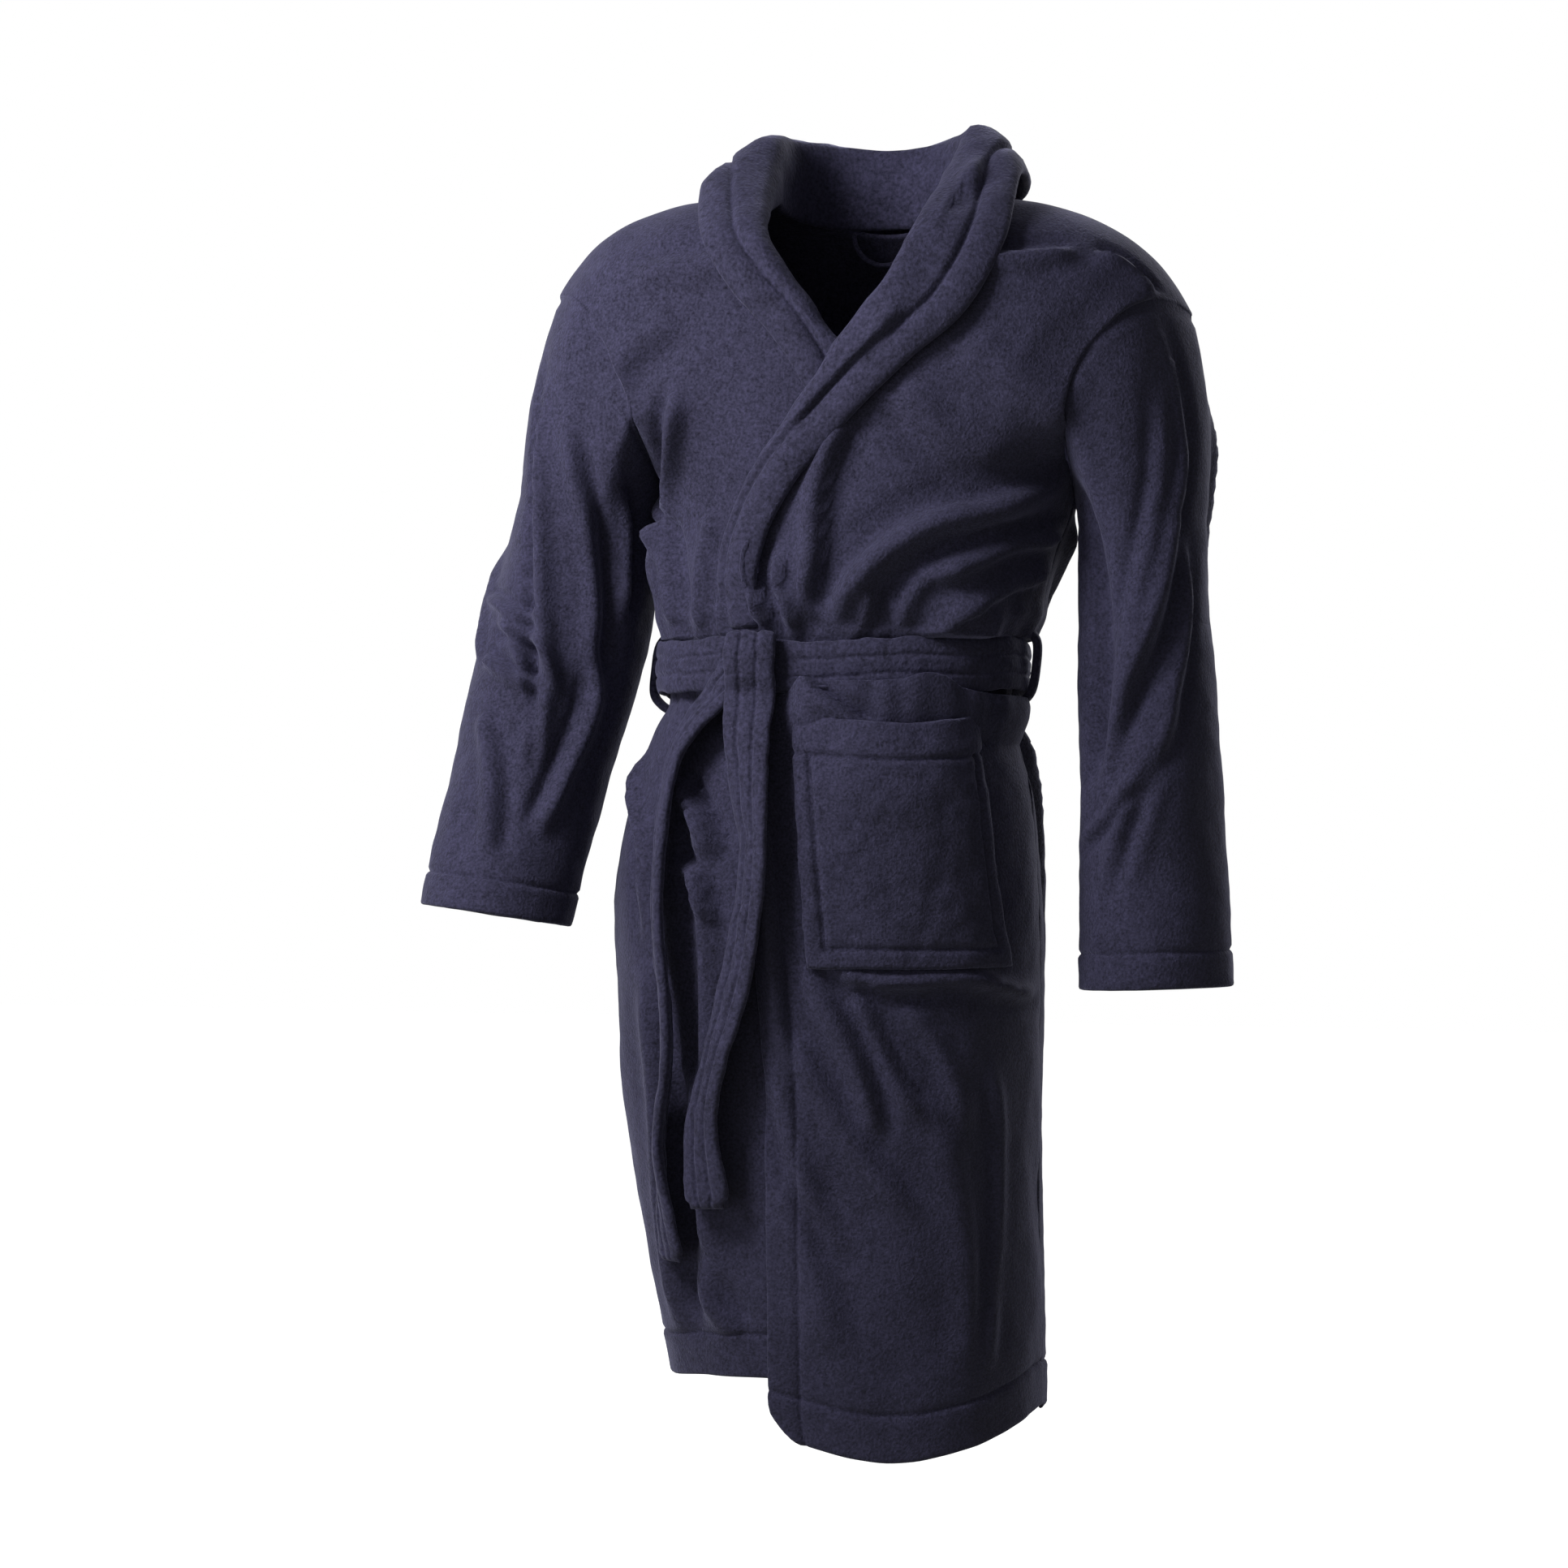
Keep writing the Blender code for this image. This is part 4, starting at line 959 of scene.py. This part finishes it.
def waist_belt():
    """The belt's turn round the waist, a little uneven in height and lie."""
    angle = np.linspace(0, 2 * math.pi, 241)[:-1]
    face = np.where(angle < math.pi, FRONT, BACK)
    folded = np.where(angle < math.pi, angle, 2 * math.pi - angle)
    row = np.full_like(angle, BELT_HEIGHT)
    path = np.where(
        (face == FRONT)[:, None],
        body_point(LEFT, FRONT, folded, row, BELT_OFF - BELT_CLOTH / 2),
        body_point(LEFT, BACK, folded, row, BELT_OFF - BELT_CLOTH / 2),
    )
    path[:, 2] += 0.002 * np.sin(3 * angle + 0.5) + 0.0014 * np.sin(7 * angle) - 0.001
    outward = unit((np.roll(path, -1, 0) - np.roll(path, 1, 0))[:, [1, 0, 2]] * (1, -1, 0))
    outward *= np.sign(np.sum(outward * (path - path.mean(0)), axis=1, keepdims=True))
    tangent = unit(np.roll(path, -1, 0) - np.roll(path, 1, 0))
    side = np.cross(tangent, outward)
    section = strap_section(BELT_WIDTH, BELT_CLOTH)
    rows = np.array([
        p + side[i] * section[:, :1] + outward[i] * section[:, 1:] for i, p in enumerate(path)
    ])
    rows = roughened(rows, 71)
    return mesh_from_rings("waist_belt", [*rows, rows[0]])


def belt_front(x, z, out):
    """Points in front of the waist belt's outer face."""
    x, z, out = np.broadcast_arrays(*(np.asarray(value, float) for value in (x, z, out)))
    row = np.full_like(x, BELT_HEIGHT)
    return np.stack([x, shift_y(row) - depth(x, row, BELT_OFF) - out, z], axis=-1)


def wide_belt_end():
    """The belt's wide end: up from under the knot, over the waist belt's top edge and down the front."""
    knot = np.array([
        belt_front(-0.076, BELT_HEIGHT + 0.008, 0.005), belt_front(-0.076, BELT_HEIGHT + 0.02, 0.0055),
        belt_front(-0.076, BELT_HEIGHT + 0.0245, 0.011), belt_front(-0.076, BELT_HEIGHT + 0.012, 0.015),
        belt_front(-0.076, BELT_HEIGHT - 0.01, 0.016), belt_front(-0.076, BELT_HEIGHT - 0.03, 0.013),
    ])
    hang = np.array([
        front_point(x, z, LAYER + 0.002 + BELT_CLOTH / 2 + off)
        for x, z, off in (
            (-0.075, -0.5, 0.021), (-0.072, -0.55, 0.014), (-0.067, -0.605, 0.011), (-0.072, -0.667, 0.011),
            (-0.086, -0.735, 0.012), (-0.104, -0.795, 0.011), (-0.117, -0.855, 0.011),
            (-0.113, -0.923, 0.011),
        )
    ])
    path = curve(np.concatenate([knot, hang]), 170)
    front = np.tile((0.0, -1.0, 0.0), (len(path), 1))
    outward = knot_facing(path, front)
    share = np.linspace(0, 1, len(path))
    twist = through(
        (0, 0), (0.4, 2), (0.52, 25), (0.62, 48), (0.75, 38), (0.86, 50), (0.94, 30), (1, 12),
    )(share)
    squeeze = through((0, 0.9), (0.3, 1.0), (0.55, 0.95), (0.72, 0.88), (0.86, 0.85), (1, 1.0))(share)
    rows, tangent = strap(path, outward, twist, 0.048, TAIL_CLOTH, squeeze)
    rows = roughened(ended(rows, path, tangent, TAIL_CLOTH), 72)
    return mesh_from_rings("wide_belt_end", rows)


def knot_facing(path, front):
    """The way a strap's outer face looks along a path that climbs, turns over and comes down the front."""
    tangent = unit(np.gradient(path, axis=0))
    sideways = np.tile((1.0, 0.0, 0.0), (len(path), 1))
    facing = np.cross(sideways, tangent)
    forward = np.sign(np.sum(facing * front, 1, keepdims=True))
    falling = (tangent[:, 2] < 0)[:, None]
    return facing * np.where(falling, forward, -forward)


def narrow_belt_end():
    """The other end, which comes out from under the knot half turned and hangs beside the wide one."""
    path = np.array([
        front_point(x, z, LAYER + 0.002 + BELT_CLOTH / 2 + off)
        for x, z, off in (
            (-0.096, -0.452, 0.012), (-0.112, -0.47, 0.014), (-0.132, -0.492, 0.013), (-0.15, -0.525, 0.01),
            (-0.159, -0.58, 0.009), (-0.162, -0.667, 0.009), (-0.154, -0.75, 0.009), (-0.153, -0.8, 0.009),
            (-0.163, -0.868, 0.009), (-0.16, -0.925, 0.009), (-0.154, -0.975, 0.008),
        )
    ])
    path = curve(path, 140)
    outward = np.tile((-0.25, -1.0, 0.0), (len(path), 1))
    share = np.linspace(0, 1, len(path))
    twist = through((0, 10), (0.15, 38), (0.35, 52), (0.6, 60), (0.8, 68), (0.92, 45), (1, 30))(share)
    squeeze = through((0, 0.85), (0.2, 0.85), (0.6, 0.82), (0.85, 0.8), (1, 0.95))(share)
    rows, tangent = strap(path, outward, twist, 0.046, TAIL_CLOTH, squeeze)
    rows = roughened(ended(rows, path, tangent, TAIL_CLOTH), 73)
    return mesh_from_rings("narrow_belt_end", rows)


# ---------------------------------------------------------------- loops
def tube(name, path, radii, across, sides=14):
    """A soft flat tube along a path. Radii: half its width and thickness. Across: its width's direction."""
    tangent = unit(np.gradient(path, axis=0))
    wide = unit(across - tangent * np.sum(across * tangent, -1, keepdims=True))
    thin = np.cross(tangent, wide)
    turn = np.linspace(0, 2 * math.pi, sides + 1)[:-1, None]
    ring = [wide[i] * np.cos(turn) * radii[0] + thin[i] * np.sin(turn) * radii[1] for i in range(len(path))]
    rows = [p + r for p, r in zip(path, ring)]
    for share in (0.7, 0.0):
        reach_ = radii[1] * math.sqrt(1 - share * share)
        rows.insert(0, path[0] + ring[0] * share - tangent[0] * reach_)
        rows.append(path[-1] + ring[-1] * share + tangent[-1] * reach_)
    return mesh_from_rings(name, rows)


def belt_loop(side, word):
    off = BELT_OFF + 0.0038
    stations = (
        (0.04, 0.002), (0.033, 0.014), (0.022, off + 0.0015), (0.0, off + 0.003), (-0.022, off + 0.0015),
        (-0.033, 0.014), (-0.04, 0.0),
    )
    points = []
    for dz, out in stations:
        z = BELT_HEIGHT + dz
        points.append((shift_x(z) + side * (half_width(z) + out), shift_y(BELT_HEIGHT), z))
    path = curve(np.array(points, float), 60)
    return tube(f"{word}_loop", path, (0.008, 0.0042), np.tile((0.0, 1.0, 0.0), (60, 1)))


HANGER_TOP = (0.0, 0.0665, -0.022)
HANGER_RADIUS = 0.03
HANGER_THICKNESS = 0.0044


def hanger_path():
    angle = np.linspace(0, math.pi, 48)[:, None]
    return HANGER_TOP + HANGER_RADIUS * np.concatenate([np.cos(angle), 0 * angle, -np.sin(angle)], 1)


def hanger():
    half = HANGER_THICKNESS / 2
    return tube("hanger_cord", hanger_path(), (half, half), np.tile((0.0, 1.0, 0.0), (48, 1)))


# ---------------------------------------------------------------- material
# The dark colour goes in the pile's hollows: painted shade between the tufts, mixed with random tone.
PILE_SHADE_AND_TONE_DARK = (0.0055, 0.0051, 0.012, 1.0)
PILE_LIGHT = (0.046, 0.0435, 0.088, 1.0)


def plush(name, pile):
    """Navy plush: short pile in clumps about so many millimetres apart, with painted shade in the hollows
    between them and random tone in larger patches, softly shiny.
    """
    material = bpy.data.materials.new(name)
    material.use_nodes = True
    nodes, links = material.node_tree.nodes, material.node_tree.links
    shader = nodes["Principled BSDF"]
    shader.inputs["Roughness"].default_value = 0.9
    shader.inputs["Specular IOR Level"].default_value = 0.15
    shader.inputs["Sheen Weight"].default_value = 0.22
    shader.inputs["Sheen Roughness"].default_value = 0.4
    shader.inputs["Sheen Tint"].default_value = (0.5, 0.5, 0.78, 1.0)
    place = nodes.new("ShaderNodeTexCoord").outputs["Object"]

    def grain(scale, detail, rough):
        node = nodes.new("ShaderNodeTexNoise")
        node.inputs["Scale"].default_value = scale
        node.inputs["Detail"].default_value = detail
        node.inputs["Roughness"].default_value = rough
        links.new(place, node.inputs["Vector"])
        return node.outputs["Fac"]

    def scaled(value, share):
        node = nodes.new("ShaderNodeMath")
        node.operation = "MULTIPLY"
        links.new(value, node.inputs[0])
        node.inputs[1].default_value = share
        return node.outputs[0]

    def added(a, b):
        node = nodes.new("ShaderNodeMath")
        links.new(a, node.inputs[0])
        links.new(b, node.inputs[1])
        return node.outputs[0]

    tufts = grain(1000 / pile, 2.0, 0.6)
    clumps = grain(330 / pile, 2.0, 0.5)
    patches = grain(9, 2.0, 0.5)
    relief = added(scaled(tufts, 0.72), scaled(clumps, 0.28))
    # The colour follows the bump's height: painted shade in the hollows between tufts, plus random tone in
    # broad patches.
    pile_shade_and_tone = added(scaled(relief, 0.86), scaled(patches, 0.14))
    ramp = nodes.new("ShaderNodeValToRGB")
    ramp.color_ramp.elements[0].position = 0.3
    ramp.color_ramp.elements[0].color = PILE_SHADE_AND_TONE_DARK
    ramp.color_ramp.elements[1].position = 0.7
    ramp.color_ramp.elements[1].color = PILE_LIGHT
    links.new(pile_shade_and_tone, ramp.inputs["Fac"])
    links.new(ramp.outputs["Color"], shader.inputs["Base Color"])
    bump = nodes.new("ShaderNodeBump")
    bump.inputs["Strength"].default_value = 0.7
    bump.inputs["Distance"].default_value = 0.0024
    links.new(relief, bump.inputs["Height"])
    links.new(bump.outputs["Normal"], shader.inputs["Normal"])
    return material


def dress(material, *pieces_):
    for piece in pieces_:
        piece.data.materials.clear()
        piece.data.materials.append(material)


# ---------------------------------------------------------------- the robe
def build():
    fleece = plush("navy_plush", 2.6)
    edging = plush("navy_plush_trim", 3.4)
    panels = left_front(), right_front(), back()
    left_top, left_bottom = sleeve(LEFT, "left", LEFT_SLEEVE_FOLDS)
    right_top, right_bottom = sleeve(RIGHT, "right", RIGHT_SLEEVE_FOLDS)
    shawl = collar()
    patch = pocket()
    belt, wide, narrow = waist_belt(), wide_belt_end(), narrow_belt_end()
    loops = belt_loop(LEFT, "left"), belt_loop(RIGHT, "right")
    cord = hanger()
    dress(fleece, *panels, left_top, left_bottom, right_top, right_bottom, patch)
    dress(edging, shawl, belt, wide, narrow, *loops, cord)

    overlap, under, rear = panels
    for piece in (under, rear, shawl, patch, belt, *loops):
        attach(piece, "robe")
    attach(cord, "hanger")
    for piece, near, far, start, end in (
        (overlap, "robe", "front_corner", (0.045, -0.157, -0.942), (-0.006, -0.157, -0.963)),
        (wide, "robe", "short_tail", (-0.08, -0.16, -0.462), (-0.08, -0.16, -0.5)),
        (narrow, "robe", "long_tail", (-0.121, -0.14, -0.462), (-0.121, -0.14, -0.5)),
        (left_top, "robe", "left_upper_arm", (0.25, 0, -0.195), (0.345, 0, -0.25)),
        (right_top, "robe", "right_upper_arm", (-0.25, 0, -0.195), (-0.345, 0, -0.25)),
        (left_bottom, "left_upper_arm", "left_forearm", (0.262, -0.01, -0.43), (0.264, -0.01, -0.53)),
        (right_bottom, "right_upper_arm", "right_forearm", (-0.297, -0.02, -0.425), (-0.313, -0.05, -0.52)),
    ):
        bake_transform(piece)

    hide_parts("left_front_panel", "left_front_corner")
    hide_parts("right_front_panel")
    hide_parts("back_panel")
    bands = "left_collar_band", "right_collar_band"
    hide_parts("left_collar", "right_collar", "collar_stand", *bands)
    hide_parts("patch_pocket")
    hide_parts("belt_waistband")
    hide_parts("belt_knot", "belt_short_tail")
    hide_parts("belt_long_tail")
    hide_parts("left_belt_loop")
    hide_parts("right_belt_loop")
    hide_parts("hanger_loop")
    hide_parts("left_upper_sleeve")
    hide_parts("left_lower_sleeve", "left_cuff")
    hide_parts("right_upper_sleeve")
    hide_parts("right_lower_sleeve", "right_cuff")


# ---------------------------------------------------------------- studio
FLOOR_Z = -1.45  # about where a wearer stands
FLOOR_SIZE = 9.0
# Each light: name, place, size, power and the point it looks at.
LIGHTS = (
    ("key", (-0.85, -1.05, 0.35), 0.55, 31.0, (-0.1, -0.1, -0.35)),
    ("fill_front", (0.1, -3.0, -0.3), 2.6, 9.0, (0.0, 0.0, -0.6)),
    ("fill_left", (-1.8, -2.0, -1.0), 1.6, 16.0, (-0.1, 0.0, -0.8)),
    ("back", (0.8, 2.4, 0.9), 1.6, 46.0, (0.0, 0.0, -0.5)),
    ("back_right", (-2.2, 1.6, 0.3), 1.8, 22.0, (0.0, 0.0, -0.5)),
)


def add_studio():
    """A plain pale floor and surround, and soft light that is strongest from the wearer's upper right."""
    mesh = bpy.data.meshes.new("floor")
    corners = [(x, y, FLOOR_Z) for x, y in ((-1, -1), (1, -1), (1, 1), (-1, 1))]
    mesh.from_pydata([(x * FLOOR_SIZE, y * FLOOR_SIZE, z) for x, y, z in corners], [], [(0, 1, 2, 3)])
    floor = bpy.data.objects.new("floor", mesh)
    bpy.context.scene.collection.objects.link(floor)
    floor.visible_diffuse = False
    pale = bpy.data.materials.new("pale_floor")
    pale.use_nodes = True
    shader = pale.node_tree.nodes["Principled BSDF"]
    shader.inputs["Base Color"].default_value = (0.22, 0.22, 0.22, 1.0)
    shader.inputs["Roughness"].default_value = 1.0
    shader.inputs["Emission Color"].default_value = (1.0, 1.0, 1.0, 1.0)
    shader.inputs["Emission Strength"].default_value = 0.98
    mesh.materials.append(pale)
    for name, place, size, power, target in LIGHTS:
        light = bpy.data.objects.new(name, bpy.data.lights.new(name, "AREA"))
        light.data.size = size
        light.data.energy = power
        light.visible_camera = False
        light.location = place
        light.rotation_euler = (Vector(place) - Vector(target)).to_track_quat("Z", "Y").to_euler()
        bpy.context.scene.collection.objects.link(light)
    world = bpy.data.worlds.new("surround")
    world.use_nodes = True
    world.node_tree.nodes["Background"].inputs["Color"].default_value = (1.0, 1.0, 1.0, 1.0)
    world.cycles_visibility.diffuse = False
    bpy.context.scene.world = world
    bpy.context.scene.view_settings.view_transform = "Standard"


build()
add_studio()
